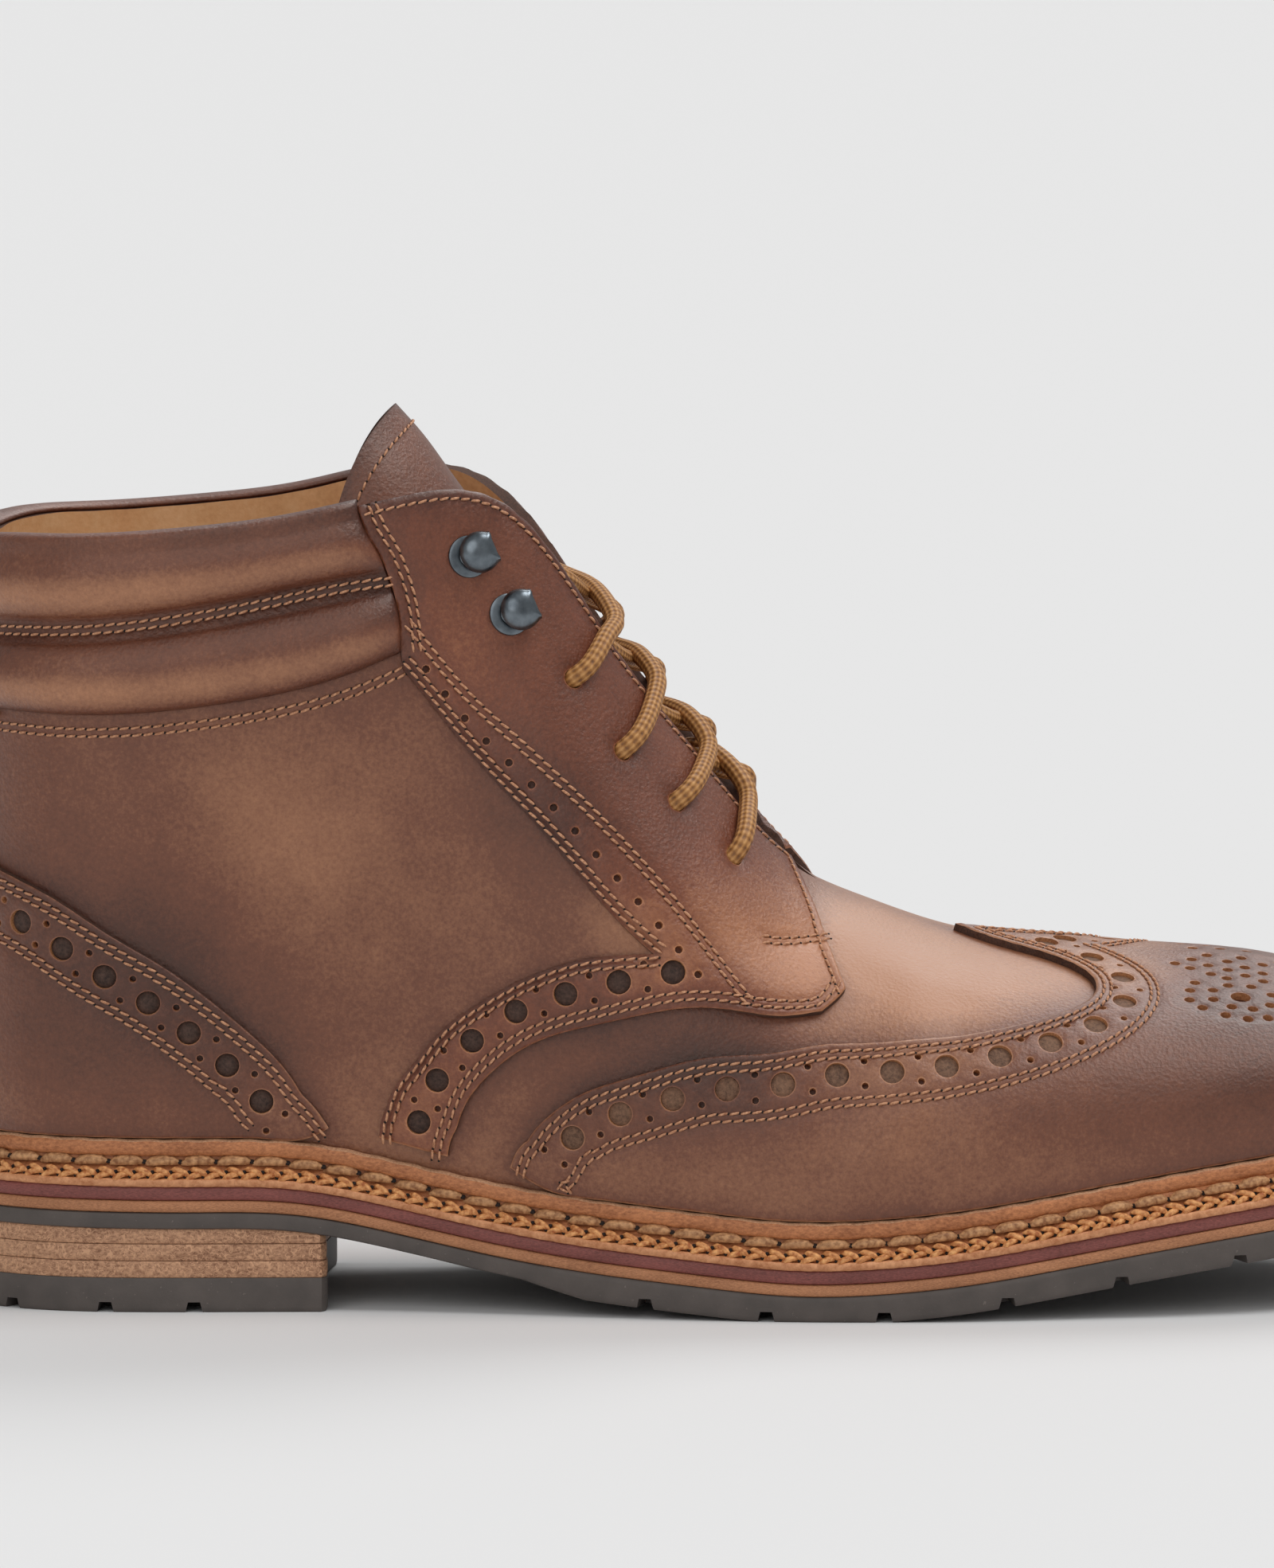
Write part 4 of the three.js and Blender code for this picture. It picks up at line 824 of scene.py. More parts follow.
@dataclass(frozen=True)
class BraidedCord:
    """Round braided lace: two sets of waxed polyester strands, read off the tube's own braid map."""

    name: str = "braided_lace"
    stops: Stops = ((0.2, "#6a4220"), (0.5, "#a06c36"), (0.85, "#c9955a"))
    strands: int = 5
    lay_mm: float = 3.2

    def build(self) -> bpy.types.Material:
        """Makes the material."""
        work = Recipe(self.name)
        where = work.add("ShaderNodeUVMap", uv_map="braid")
        around, along, _ = work.add("ShaderNodeSeparateXYZ", {0: where}).node.outputs
        waves = []
        for turn in (1, -1):
            phase = work.mix(work.math("MULTIPLY", along, turn / self.lay_mm), (around, self.strands))
            waves.append(work.math("SINE", work.math("MULTIPLY", phase, 2 * math.pi)))
        weave = work.mix(0.5, (work.math("MULTIPLY", *waves), 0.5))
        tone = work.mix(0, (weave, 0.6), (work.noise(0.6, 3), 0.5))
        return work.finish(tone, self.stops, 0.6, weave, 0.8, 0.35)


@dataclass(frozen=True)
class CleatedRubber:
    """Moulded sole rubber: near-black brown, matt, faintly speckled with dust, with tread lines below."""

    name: str = "moulded_rubber"
    stops: Stops = ((0.2, "#4e4743"), (0.5, "#5f5651"), (0.9, "#7e736c"))
    tread_mm: float = 7.0

    def build(self) -> bpy.types.Material:
        """Makes the material."""
        work = Recipe(self.name)
        specks = work.math("GREATER_THAN", work.noise(0.8, 2), 0.72)
        tone = work.mix(0, (work.noise(7, 4), 0.6), (specks, 0.35))
        along = work.add("ShaderNodeSeparateXYZ", {0: work.place})
        normal = work.add("ShaderNodeNewGeometry", out="Normal")
        facing = work.add("ShaderNodeSeparateXYZ", {0: normal}, out="Z")
        wave = work.math("SINE", work.math("MULTIPLY", along, 2 * math.pi / (self.tread_mm * MM)))
        below = work.math("LESS_THAN", facing, -0.8)
        groove = work.math("MULTIPLY", work.math("GREATER_THAN", wave, 0.7), below)
        return work.finish(tone, self.stops, 0.62, work.mix(work.noise(0.5, 3), (groove, -6.0)))


class Finishes:
    """Every finish of the boot, built once."""

    def __init__(self) -> None:
        """Builds the materials."""
        band = ("#270f09", "#4a2013", "#733c26", "#b0744e")
        strap = ("#2a130d", "#47231a", "#643826", "#8a5339")
        self.leather = BurnishedLeather().build()
        self.band = BurnishedLeather("burnished_band_calf", band).build()
        self.strap = BurnishedLeather("dark_strap_calf", strap).build()
        self.raw_edge = FibrousLeather("raw_cut_edge", "#2b1812", "#5d3a28", 0.8, 1.0, 0.4, 0.2).build()
        self.punched = FibrousLeather("punched_hole_edge", "#8a5030", "#cf9464", 0.7, 1.0, 0.4, 0.1).build()
        self.backing = FibrousLeather("interlining_felt", "#241813", "#563f35", 0.85, 1.0, 0.8, 0.3).build()
        self.floor = FibrousLeather("hole_floor_leather", "#4a3224", "#8a664e", 0.75, 1.0, 0.7, 0.2).build()
        self.ridge = FibrousLeather("split_welt_ridge", "#8f5f42", "#d3a27c", 0.8, 1.5, 0.5, 0.3).build()
        self.welt = FibrousLeather("welt_leather", "#8a4e28", "#c88252", 0.55, 2.0, 1.0, 0.12).build()
        self.rand = FibrousLeather("pale_welt_edge", "#a8663a", "#dc9e70", 0.55, 1.0, 1.2, 0.12).build()
        self.red = FibrousLeather("stained_midsole", "#5e2c26", "#94524a", 0.5, 4.0, 0.7, 0.12).build()
        self.natural = FibrousLeather("natural_midsole", "#8c5838", "#c98c62", 0.62, 4.0, 0.6, 0.2).build()
        self.stack = FibrousLeather("stacked_leather", "#74482f", "#d0a07c", 0.66, 1.6, 0.9, 0.22, 0.4).build()
        tans = ((0.25, "#c58c5c"), (0.5, "#e0ac78"), (0.8, "#f2c898"))
        self.lining = Mottled("glove_lining", tans, 0.6, 1.1, 4.0, grain=0.35, cloud=0.7, strength=0.35,
                              depth_mm=0.2).build()
        # Dark dots painted as the shade in the awl holes of every seam.
        self.hole = Mottled("awl_hole_shadow", ((0.3, "#160c08"), (0.7, "#241610")), 0.9, 1.0).build()
        self.metal = Mottled("dark_nickel", ((0.3, "#5a6167"), (0.7, "#7b8389")), 0.3, 2.5, 4.0,
                             metallic=1.0).build()
        self.thread = thread("seam_thread", "#9c6545", "#d8a27c")
        self.welt_thread = thread("welt_linen", "#8a5a36", "#cf9c6c", 0.9)
        self.cord_thread = thread("sole_linen", "#a55a28", "#f0b070", 0.9)
        self.lace = BraidedCord().build()
        self.rubber = CleatedRubber().build()


class Edge(Enum):
    """How a panel's edge is finished."""

    RAW = "cut square"
    FOLDED = "turned over and rounded"
    SKIVED = "pared thin"
    SEAM = "joins the other side"

    def share(self, away: Array) -> Array:
        """The share of the thickness that is left at a distance in mm from this edge."""
        if self is Edge.RAW:
            return 0.72 + 0.28 * smoothstep(away, 0, 0.5)
        if self is Edge.FOLDED:
            return np.sqrt(np.clip(1 - (1 - np.clip(away / 1.1, 0, 1)) ** 2, 0.02, 1))
        return 0.25 + 0.75 * smoothstep(away, 0, 3.0)


@dataclass(frozen=True)
class Run:
    """One stretch of a panel's outline."""

    places: tuple[Point2, ...]
    edge: Edge


@dataclass(frozen=True)
class Hole:
    """A punched hole at one place of the sheet."""

    t: float
    v: float
    diameter: float


@dataclass(frozen=True)
class Seam:
    """A line of stitches."""

    run: Array
    rows: int = 2
    side: Side = Side.LATERAL


ROW_GAP = 1.45  # between the two rows of a double seam
STITCH_PITCH = 2.2


def seam_rows(seam: Seam) -> list[Array]:
    """The (t, v) runs of a seam's rows."""
    if seam.rows == 1:
        return [seam.run]
    return [LAST.beside(seam.run, seam.side, away) for away in (-ROW_GAP / 2, ROW_GAP / 2)]


@dataclass
class Panel:
    """A leather panel cut from the sheet of (t, v), punched, bevelled at its edges and laid on the last."""

    name: str
    outline: Callable[[Side], list[Run]]
    sides: tuple[Side, ...] = BOTH
    thickness: float = OVERLAY
    spacing: float = 1.5
    holes: dict[Side, list[Hole]] = field(default_factory=dict)
    seams: list[Seam] = field(default_factory=list)

    def build(self, materials: Sequence[bpy.types.Material]) -> bpy.types.Object:
        """Cuts, lays and joins the panel.

        Args:
            materials: Its face leather, its cut edge and the walls of its holes.

        Returns:
            The panel's object.
        """
        edges: dict[Edge, list[Array]] = {}
        for side in self.sides:
            for run in self.outline(side):
                if run.edge is not Edge.SEAM:
                    edges.setdefault(run.edge, []).append(LAST.trace(curve_run(run.places, 0.4), side))
        holes = [(LAST.face(hole.t, hole.v, side)[0], hole.diameter / 2)
                 for side in self.sides for hole in self.holes.get(side, [])]
        sewn = [respace(LAST.trace(row, seam.side), 0.35) for seam in self.seams for row in seam_rows(seam)]
        shell = Shell()
        for side in self.sides:
            flat, triangles, loops, on_seam = self._cut(side)
            t, v = flat[:, 0] / SHEET_T, np.clip(flat[:, 1] / SHEET_V, 0, 1)
            face, normal, relief = LAST.face(t, v, side), LAST.normal(t, v, side), LAST.relief(t, v, side)
            gaps = {edge: nearest(face, np.concatenate(points)) for edge, points in edges.items()}
            away = np.min(list(gaps.values()), axis=0)
            stitched = nearest(face, np.concatenate(sewn) if sewn else ())
            punched = np.maximum(nearest(face, [place for place, _ in holes], [size for _, size in holes]), 0)
            height = self.thickness * np.prod([edge.share(gap) for edge, gap in gaps.items()], axis=0)
            height -= 0.30 * np.exp(-(stitched / 0.55) ** 2) + 0.22 * np.exp(-(punched / 0.5) ** 2)
            # Darker along edges, round holes and along seams: burnishing, with painted shade in the dips at
            # the stitches and holes.
            dark = 0.75 * np.exp(-away / 2.2) + 0.5 * np.exp(-punched / 1.2) + 0.3 * np.exp(-stitched / 0.9)
            # Lighter in the tone patches, in a ring right at each hole's lip, and in a thin painted highlight
            # along each raw cut edge.
            light_and_tone = patches_of_tone_and_light(t, v) + 1.2 * np.exp(-(punched / 0.22) ** 2)
            light_and_tone += 1.3 * np.exp(-(away / 0.28) ** 2) * (gaps.get(Edge.RAW, 1e3) <= away)
            outer = face + normal * (GAP + relief + height)[:, None]
            inner = face + normal * (relief - 0.1)[:, None]
            n, flip = len(face), side is Side.MEDIAL
            burnish = np.tile(np.clip(dark, 0, 1), 2)
            base = shell.add(np.concatenate([outer, inner]), burnish, np.tile(light_and_tone, 2))
            shell.fill(triangles, 0, base, flip)
            shell.fill(triangles, 1, base + n, not flip)
            for which, loop in enumerate(loops):
                walls = [(b, a, n + a, n + b) for a, b in zip(loop, np.roll(loop, -1))
                         if not (on_seam[a] and on_seam[b])]
                shell.fill(walls, 2 if which else 1, base, flip)
        return shell.build(self.name, materials, 0.02 if len(self.sides) > 1 else 0.0)

    def _cut(self, side: Side) -> tuple[Array, Array, list[Array], Array]:
        """Cuts the flat sheet for one side.

        Args:
            side: Which half.

        Returns:
            The flat points in the sheet's mm, the triangles, the boundary loops as indices turned the way
            of the outline, and whether each point lies on a seam with the other side.
        """
        scale = np.array((SHEET_T, SHEET_V))
        runs = [(curve_run(run.places), run.edge is Edge.SEAM) for run in self.outline(side)]
        flags = np.concatenate([[joined] * (len(places) - 1) for places, joined in runs]).astype(bool)
        loops = [np.concatenate([places[:-1] for places, _ in runs]) * scale]
        sign = 1 if turns_left(loops[0]) else -1
        candidates = []
        for places, joined in runs:
            if not joined:
                along = unit(np.gradient(places * scale, axis=0))
                inward = np.stack([-along[:, 1], along[:, 0]], 1) * sign
                for depth in (0.3, 0.8, 1.5):
                    candidates.append((places * scale + inward * depth, depth * 0.85, 0.45))
        for row in [row for seam in self.seams if seam.side is side for row in seam_rows(seam)]:
            lines = [row, LAST.beside(row, side, -0.55), LAST.beside(row, side, 0.55)]
            candidates += [(line * scale, 0.28, 0.4) for line in lines]
        xs, ys = (np.arange(low, high, step) for low, high, step in
                  zip(loops[0].min(0), loops[0].max(0), (self.spacing, self.spacing * 0.87)))
        gx, gy = np.meshgrid(xs, ys, indexing="ij")
        gx = gx + (np.arange(len(ys)) % 2) * self.spacing / 2
        candidates.append((np.stack([gx.ravel(), gy.ravel()], 1), 0.6, 0.85))
        for hole in self.holes.get(side, []):
            circles = [self._circle(hole, side, width) * scale for width in (0, 0.3, 0.8)]
            loops.append(circles[0])
            candidates[:0] = [(circles[1], 0.1, 0.2), (circles[2], 0.25, 0.2)]
        flat, triangles = plane_mesh(loops, self._loose(loops, candidates))
        turned, base = [], 0
        for k, part in enumerate(loops):
            index = base + np.arange(len(part))
            turned.append(index if turns_left(part) == (k == 0) else index[::-1])
            base += len(part)
        on_seam = np.zeros(len(flat), bool)
        on_seam[:len(flags)] = flags
        on_seam[(np.flatnonzero(flags & ~np.roll(flags, -1)) + 1) % len(flags)] = True
        return flat, triangles, turned, on_seam

    @staticmethod
    def _loose(loops: Sequence[Array], candidates: Sequence[tuple[Array, float, float]]) -> Array:
        """Picks the inner points of a cut.

        Args:
            loops: The outline and the holes.
            candidates: Points, how far they keep from the loops and how far apart they lie.

        Returns:
            The points that are kept.
        """
        kept: list[Array] = []
        cells: set[tuple[int, int, float]] = set()
        boundary = in_space(np.concatenate(loops))
        for points, clear, apart in candidates:
            points = points[inside(points, loops[0])]
            points = points[nearest(in_space(points), boundary) > clear]
            for loop in loops[1:]:
                within = np.abs(points - loop.mean(0)).max(1) < np.ptp(loop, axis=0).max()
                within[within] = inside(points[within], loop)
                points = points[~within]
            for x, y in points:
                i, j = int(x / apart), int(y / apart)
                near = any((i + a, j + b, apart) in cells for a in (-1, 0, 1) for b in (-1, 0, 1))
                if near and apart > 0.5 or (i, j, apart) in cells:
                    continue
                cells.update((int(x / size), int(y / size), size) for size in (0.2, 0.4, 0.45, 0.85))
                kept.append((x, y))
        return np.array(kept).reshape(-1, 2)

    @staticmethod
    def _circle(hole: Hole, side: Side, wider: float) -> Array:
        """A true circle on the skin round a hole, wider by some mm, as (t, v) pairs."""
        steps = 20 if hole.diameter > 3 else 8
        angle = np.arange(steps)[:, None] * 2 * math.pi / steps
        t, v = np.full(steps, hole.t), np.full(steps, hole.v)
        first = unit(LAST.tangents(t, v, side)[0])
        second = np.cross(LAST.normal(t, v, side), first)
        moves = (hole.diameter / 2 + wider) * (np.cos(angle) * first + np.sin(angle) * second)
        wanted = LAST.face(t, v, side) + moves
        places = LAST.shift(t, v, side, moves)
        for _ in range(3):
            t, v = places[:, 0], np.clip(places[:, 1], 0, 1)
            places = LAST.shift(t, v, side, wanted - LAST.face(t, v, side))
        return places


# Lighter (over 0) and darker patches of the leather's tone, some of the lighter ones painted highlights where
# light fell: t, v, reach in the sheet's mm, amount.
PATCHES_OF_TONE_AND_LIGHT = (
    (0.27, 0.53, 26, 0.45), (0.21, 0.67, 26, 0.35), (0.17, 0.50, 18, -0.25), (0.19, 0.32, 22, -0.3),
    (0.30, 0.26, 18, 0.25), (0.40, 0.71, 18, -0.3), (0.335, 0.76, 14, 0.4), (0.363, 0.86, 16, 0.15),
    (0.45, 0.59, 13, 1.2), (0.477, 0.78, 16, 0.1), (0.525, 0.70, 14, 0.75), (0.591, 0.82, 22, 0.8),
    (0.637, 0.88, 22, 0.8), (0.62, 0.66, 24, 1.0), (0.565, 0.50, 16, 0.5), (0.495, 0.45, 15, -0.45),
    (0.43, 0.30, 20, 0.1), (0.73, 0.88, 20, 0.9), (0.79, 0.76, 16, -0.25), (0.695, 0.34, 22, -0.1),
    (0.61, 0.30, 20, 0.2), (0.78, 0.32, 24, -0.15), (0.86, 0.50, 30, -0.15), (0.12, 0.34, 20, -0.2),
    (0.10, 0.86, 24, 0.3), (0.22, 0.87, 16, -0.25), (0.04, 0.84, 16, -0.2), (0.05, 0.24, 22, 0.25),
)


SKIRT_FLOOR_REFLECTION = 0.38  # painted reflection of the pale floor: the leather is made lighter low down by the welt


def patches_of_tone_and_light(t: Array, v: Array) -> Array:
    """Lighter and darker patches at each place, some of them painted highlights, plus the painted reflection
    of the floor low down by the welt.
    """
    out = np.zeros(len(t))
    for at_t, at_v, reach, amount in PATCHES_OF_TONE_AND_LIGHT:
        away = ((t - at_t) * SHEET_T) ** 2 + ((v - at_v) * SHEET_V) ** 2
        out += amount * np.exp(-away / reach ** 2)
    # The lower skirt is lightened as a painted reflection of the floor.
    return out + SKIRT_FLOOR_REFLECTION * (1 - smoothstep(v, 0.18, 0.42))


RIDGE_HEIGHT = 9.2
RIDGE_CLEAR = RIDGE_HEIGHT + 0.35


def over_ridge(start: float, end: float, side: Side, steps: int = 9) -> tuple[Point2, ...]:
    """A run just over the storm ridge between two stations."""
    t = np.linspace(start, end, steps)
    v = LAST.share_at_height(np.clip(t, 0, 1), side, RIDGE_CLEAR)
    return tuple(zip(t.tolist(), v.tolist()))


WING_EDGE = ((0.3735, 0.20), (0.382, 0.273), (0.398, 0.313), (0.423, 0.357), (0.45, 0.393), (0.496, 0.46),
             (0.548, 0.52), (0.588, 0.548), (0.634, 0.59), (0.679, 0.643), (0.703, 0.69), (0.717, 0.74),
             (0.7225, 0.80), (0.7195, 0.85), (0.707, 0.897), (0.685, 0.937), (0.66, 0.967), (0.638, 1.0))
COUNTER_EDGE = ((0.0, 0.606), (0.03, 0.598), (0.074, 0.563), (0.109, 0.527), (0.138, 0.48), (0.168, 0.437),
                (0.198, 0.387), (0.22, 0.347), (0.243, 0.3), (0.259, 0.243), (0.266, 0.20))
FACING_TOP = ((0.281, 1.0), (0.537, 1.0))
FACING_FRONT = ((0.537, 1.0), (0.543, 0.95), (0.55, 0.88), (0.557, 0.8), (0.564, 0.72), (0.571, 0.652))
FACING_CORNER = ((0.571, 0.652), (0.569, 0.64), (0.557, 0.593))
FACING_BOTTOM = ((0.557, 0.593), (0.536, 0.577), (0.515, 0.563), (0.494, 0.54), (0.454, 0.483), (0.407, 0.413),
                 (0.38, 0.373), (0.359, 0.337), (0.348, 0.31), (0.339, 0.257), (0.3365, 0.20))
ARC_UPPER = ((0.2955, 0.20), (0.297, 0.253), (0.303, 0.3), (0.316, 0.337), (0.331, 0.377), (0.359, 0.423),
             (0.391, 0.47), (0.419, 0.52), (0.458, 0.58))
BAND_LEFT = ((0.458, 0.58), (0.444, 0.593), (0.408, 0.633), (0.372, 0.677), (0.338, 0.747), (0.31, 0.82))
BAND_RIGHT = ((0.314, 0.867), (0.354, 0.777), (0.392, 0.737), (0.43, 0.723), (0.476, 0.667), (0.512, 0.585))
COLLAR_SEAM = ((0.3085, 0.845), (0.307, 0.883), (0.3025, 0.917), (0.296, 0.947), (0.289, 0.97), (0.283, 1.0))
COLLAR_LOW = ((0.0, 0.797), (0.06, 0.796), (0.128, 0.792), (0.203, 0.8), (0.252, 0.81), (0.283, 0.823),
              (0.304, 0.836))
COLLAR_MID = ((0.0, 0.897), (0.075, 0.897), (0.128, 0.9), (0.173, 0.907), (0.219, 0.915), (0.268, 0.92),
              (0.3015, 0.918))
BAND_HOLES = ((0.323, 0.818), (0.346, 0.762), (0.382, 0.707), (0.419, 0.678), (0.46, 0.63), (0.484, 0.583))
BAR_TACK = ((0.523, 0.727), (0.559, 0.765))
BIG_HOLE = 4.8
SMALL_HOLE = 1.4
LACE_HOLES = ((0.503, 0.86), (0.469, 0.86), (0.437, 0.86), (0.408, 0.883))
LACE_LEAN = (0.004, 0.014, 0.015, 0.018)  # how far the lace leans towards the toe on its way to the edge
HOOKS = ((0.371, 0.89), (0.347, 0.937))


def edge_run(places: Sequence[Point2], side: Side, away: float) -> Array:
    """A run that keeps its distance from an outline, cut at the ridge of the boot."""
    run = LAST.beside(curve_run(places), side, away)
    return run[(run[:, 1] < 1.0) & (run[:, 0] > 0)]


def from_floor(run: Array, side: Side) -> Array:
    """The part of a run that shows over the storm ridge."""
    return run[run[:, 1] > LAST.share_at_height(run[:, 0], side, RIDGE_CLEAR)]


def brogue_row(run: Array, side: Side, pitch: float, first: float = 0.5, paired: bool = True) -> list[Hole]:
    """Large holes along a run with pairs of small ones between them.

    Args:
        run: (t, v) pairs of the row's middle.
        side: Which half.
        pitch: Spacing of the large holes in mm.
        first: Where the first large hole lies, in pitches from the run's start.
        paired: Whether small holes lie between the large ones.

    Returns:
        The holes.
    """
    points = LAST.face(run[:, 0], run[:, 1], side)
    table = np.concatenate([points, run], 1)
    keys = np.concatenate([[0], np.cumsum(np.linalg.norm(np.diff(points, axis=0), axis=1))])
    holes = []
    at = first * pitch
    while at < keys[-1] - 0.3 * pitch:
        t, v = (float(np.interp(at, keys, table[:, k])) for k in (3, 4))
        holes.append(Hole(t, v, BIG_HOLE))
        if paired and at + pitch / 2 < keys[-1]:
            middle = np.array([[np.interp(at + pitch / 2 + d, keys, table[:, k]) for k in (3, 4)]
                               for d in (-0.5, 0, 0.5)])
            for away in (-2.5, 2.5):
                t, v = LAST.beside(middle, side, away).mean(0)
                holes.append(Hole(float(t), float(v), SMALL_HOLE))
        at += pitch
    return holes


class Overlays:
    """The panels sewn over the upper, with their seams and punching."""

    last_arc_hole: float = 0.478

    # The toe medallion on one side of its axis: along the boot and away from the axis, in mm, and diameter.
    medallion_axis: float = -1.5
    medallion: tuple[tuple[float, float, float], ...] = (
        (221.5, 16.5, 4.0), (209.0, 0.0, 2.2), (212.4, 2.4, 2.2), (215.8, 4.8, 2.2), (219.0, 7.2, 2.2),
        (216.0, 0.0, 2.2), (219.4, 2.4, 2.2), (222.8, 4.8, 2.2), (226.2, 7.2, 2.2), (223.0, 0.0, 2.2),
        (226.4, 2.4, 2.2), (229.8, 4.8, 2.2), (230.0, 0.0, 2.2), (233.4, 2.4, 2.2),
    )
    rings: tuple[tuple[float, float, float, int], ...] = ((6.2, 22.5, 45, 8), (10.4, 60, 26, 7))

    def __init__(self, finishes: Finishes) -> None:
        """Keeps the finishes and starts the list of seams."""
        self.finishes = finishes
        self.seams: list[Seam] = []
        self.hole_places: list[Array] = []
        self.backings: list[tuple[Hole, Side, float, float, int]] = []

    def wing_outline(self, side: Side) -> list[Run]:
        """The wing cap's outline."""
        return [Run(WING_EDGE, Edge.RAW), Run(((0.638, 1.0), (1.0, 1.0)), Edge.SEAM),
                Run(((1.0, 1.0), (1.0, over_ridge(1, 1, side, 1)[0][1])), Edge.SEAM),
                Run(over_ridge(1.0, 0.3735, side, 24)[:-1] + (WING_EDGE[0],), Edge.RAW)]

    def counter_outline(self, side: Side) -> list[Run]:
        """The counter's outline."""
        foot = over_ridge(0.266, 0.0, side, 14)
        return [Run(COUNTER_EDGE, Edge.RAW), Run((COUNTER_EDGE[-1],) + foot[1:], Edge.RAW),
                Run((foot[-1], COUNTER_EDGE[0]), Edge.SEAM)]

    def facing_outline(self, side: Side) -> list[Run]:
        """The facing's outline, with the arched band."""
        foot = (FACING_BOTTOM[-1], ARC_UPPER[0])
        return [Run(FACING_TOP, Edge.FOLDED), Run(FACING_FRONT, Edge.RAW), Run(FACING_CORNER, Edge.RAW),
                Run(FACING_BOTTOM, Edge.RAW), Run(foot, Edge.RAW), Run(ARC_UPPER, Edge.SKIVED),
                Run(BAND_LEFT, Edge.SKIVED), Run(((0.31, 0.82), (0.3085, 0.845)), Edge.SKIVED),
                Run(COLLAR_SEAM, Edge.RAW), Run((COLLAR_SEAM[-1], FACING_TOP[0]), Edge.FOLDED)]

    def strap_outline(self, side: Side) -> list[Run]:
        """The back strap's outline."""
        flare = ((0.0245, 0.598), (0.025, 0.64), (0.038, 0.70), (0.056, 0.745), (0.076, 0.790))
        return [Run(((0.0, 0.604), flare[0]), Edge.SKIVED), Run(flare, Edge.RAW),
                Run((flare[-1], (0.0, 0.792)), Edge.RAW), Run(((0.0, 0.792), (0.0, 0.604)), Edge.SEAM)]

    def seam(self, side: Side, run: Array, rows: int = 2) -> Seam:
        """Adds a seam to the boot's list and returns it."""
        seam = Seam(run, rows, side)
        self.seams.append(seam)
        return seam

    def build(self) -> None:
        """Builds every panel."""
        edge, punched = self.finishes.raw_edge, self.finishes.punched
        calf = (self.finishes.leather, edge, punched)
        self._brogued("wing_cap", self.wing_outline, WING_EDGE, (2.3, 11.8, 6.3), (10.8, 0.42),
                      (0.1, 0.75, 1), calf)
        self._brogued("counter", self.counter_outline, COUNTER_EDGE, (2.3, 12.6, 7.6), (9.9, 0.5),
                      (0.75, 0.65, 0), calf)
        for side in BOTH:
            self._facing(side, (self.finishes.band, edge, punched))
        strap = Panel("back_strap_leather", self.strap_outline, thickness=1.2)
        settle(strap.build((self.finishes.strap, edge, punched)), "strap_leather", "back_strap")
        self._plugs()

    def _plugs(self) -> None:
        """What shows in the large holes: flat leather behind the wing's, swollen interlining elsewhere."""
        shell = Shell()
        steps, rings = 18, 5
        quads = grid_faces(rings, steps, closed_columns=True)
        quads.append(tuple(range((rings - 1) * steps, rings * steps)))
        angle = np.arange(steps)[:, None] * 2 * math.pi / steps
        for hole, side, dome, rise, slot in self.backings:
            t, v = np.array([hole.t]), np.array([hole.v])
            out = LAST.normal(t, v, side)[0]
            first = unit(LAST.tangents(t, v, side)[0][0])
            second = np.cross(out, first)
            centre = LAST.skin(t, v, side, rise)[0]
            disc = []
            for share in 1 - np.linspace(0, 0.94, rings):
                ring = hole.diameter / 2 * 0.98 * share
                disc.append(centre + (np.cos(angle) * first + np.sin(angle) * second) * ring
                            + out * dome * (1 - share ** 2))
            shell.fill(quads, slot, shell.add(np.concatenate(disc)))
        settle(shell.build("hole_backing", (self.finishes.backing, self.finishes.floor)), "lining")

    def _punch(self, panel: Panel, side: Side, holes: list[Hole], backing: Point3, more: list[Hole]) -> None:
        """Punches a panel, with backings behind the large brogue holes."""
        self.backings += [(hole, side, *backing) for hole in holes if hole.diameter > 3]
        panel.holes[side] = holes + more
        self.hole_places += [LAST.face(hole.t, hole.v, side)[0] for hole in panel.holes[side]]

    def _brogued(self, node: str, outline: Callable[[Side], list[Run]], edge: Sequence[Point2],
                 insets: Point3, row: Point2, backing: Point3,
                 materials: Sequence[bpy.types.Material]) -> None:
        """A panel with two double seams and a brogue row along its upper edge.

        Args:
            node: Name of the panel.
            outline: Its outline on one side.
            edge: Its upper edge.
            insets: How far the two seams and the row lie in from that edge, in mm.
            row: Pitch of the row in mm, and where it starts in pitches.
            backing: Dome, depth and finish of what shows in the holes.
            materials: Its finishes.
        """
        panel = Panel(node + "_leather", outline)
        for side in BOTH:
            high, low, middle = (from_floor(edge_run(edge, side, -inset), side) for inset in insets)
            panel.seams += [self.seam(side, high), self.seam(side, low)]
            is_wing = node == "wing_cap"
            holes = brogue_row(middle[::-1] if is_wing else middle, side, *row)
            self._punch(panel, side, holes, backing, self._medallion(side) if is_wing else [])
        settle(panel.build(materials), "upper_leather", node)

    def _medallion(self, side: Side) -> list[Hole]:
        """The holes of the toe medallion that fall on one side of the boot's ridge."""
        x0, w0, _ = self.medallion[0]
        marks = list(self.medallion)
        for radius, start, step, count in self.rings:
            for angle in np.radians(start + step * np.arange(count)):
                marks.append((x0 + radius * math.cos(angle), w0 + radius * math.sin(angle), 2.2))
        holes = []
        for x, away, size in marks:
            for mirror in ((1,) if away == 0 else (1, -1)):
                y = self.medallion_axis + mirror * away
                ridge = float(np.interp(x, [165, 255], [4.0, 7.0]))
                if (y - ridge) * side.value < 1.4 or x > 244:
                    continue
                squeeze = 1 - 0.006 * max(abs(y - ridge) - 12, 0)
                holes.append(Hole(*LAST.locate(x, ridge + (y - ridge) * squeeze, side), size))
        return holes

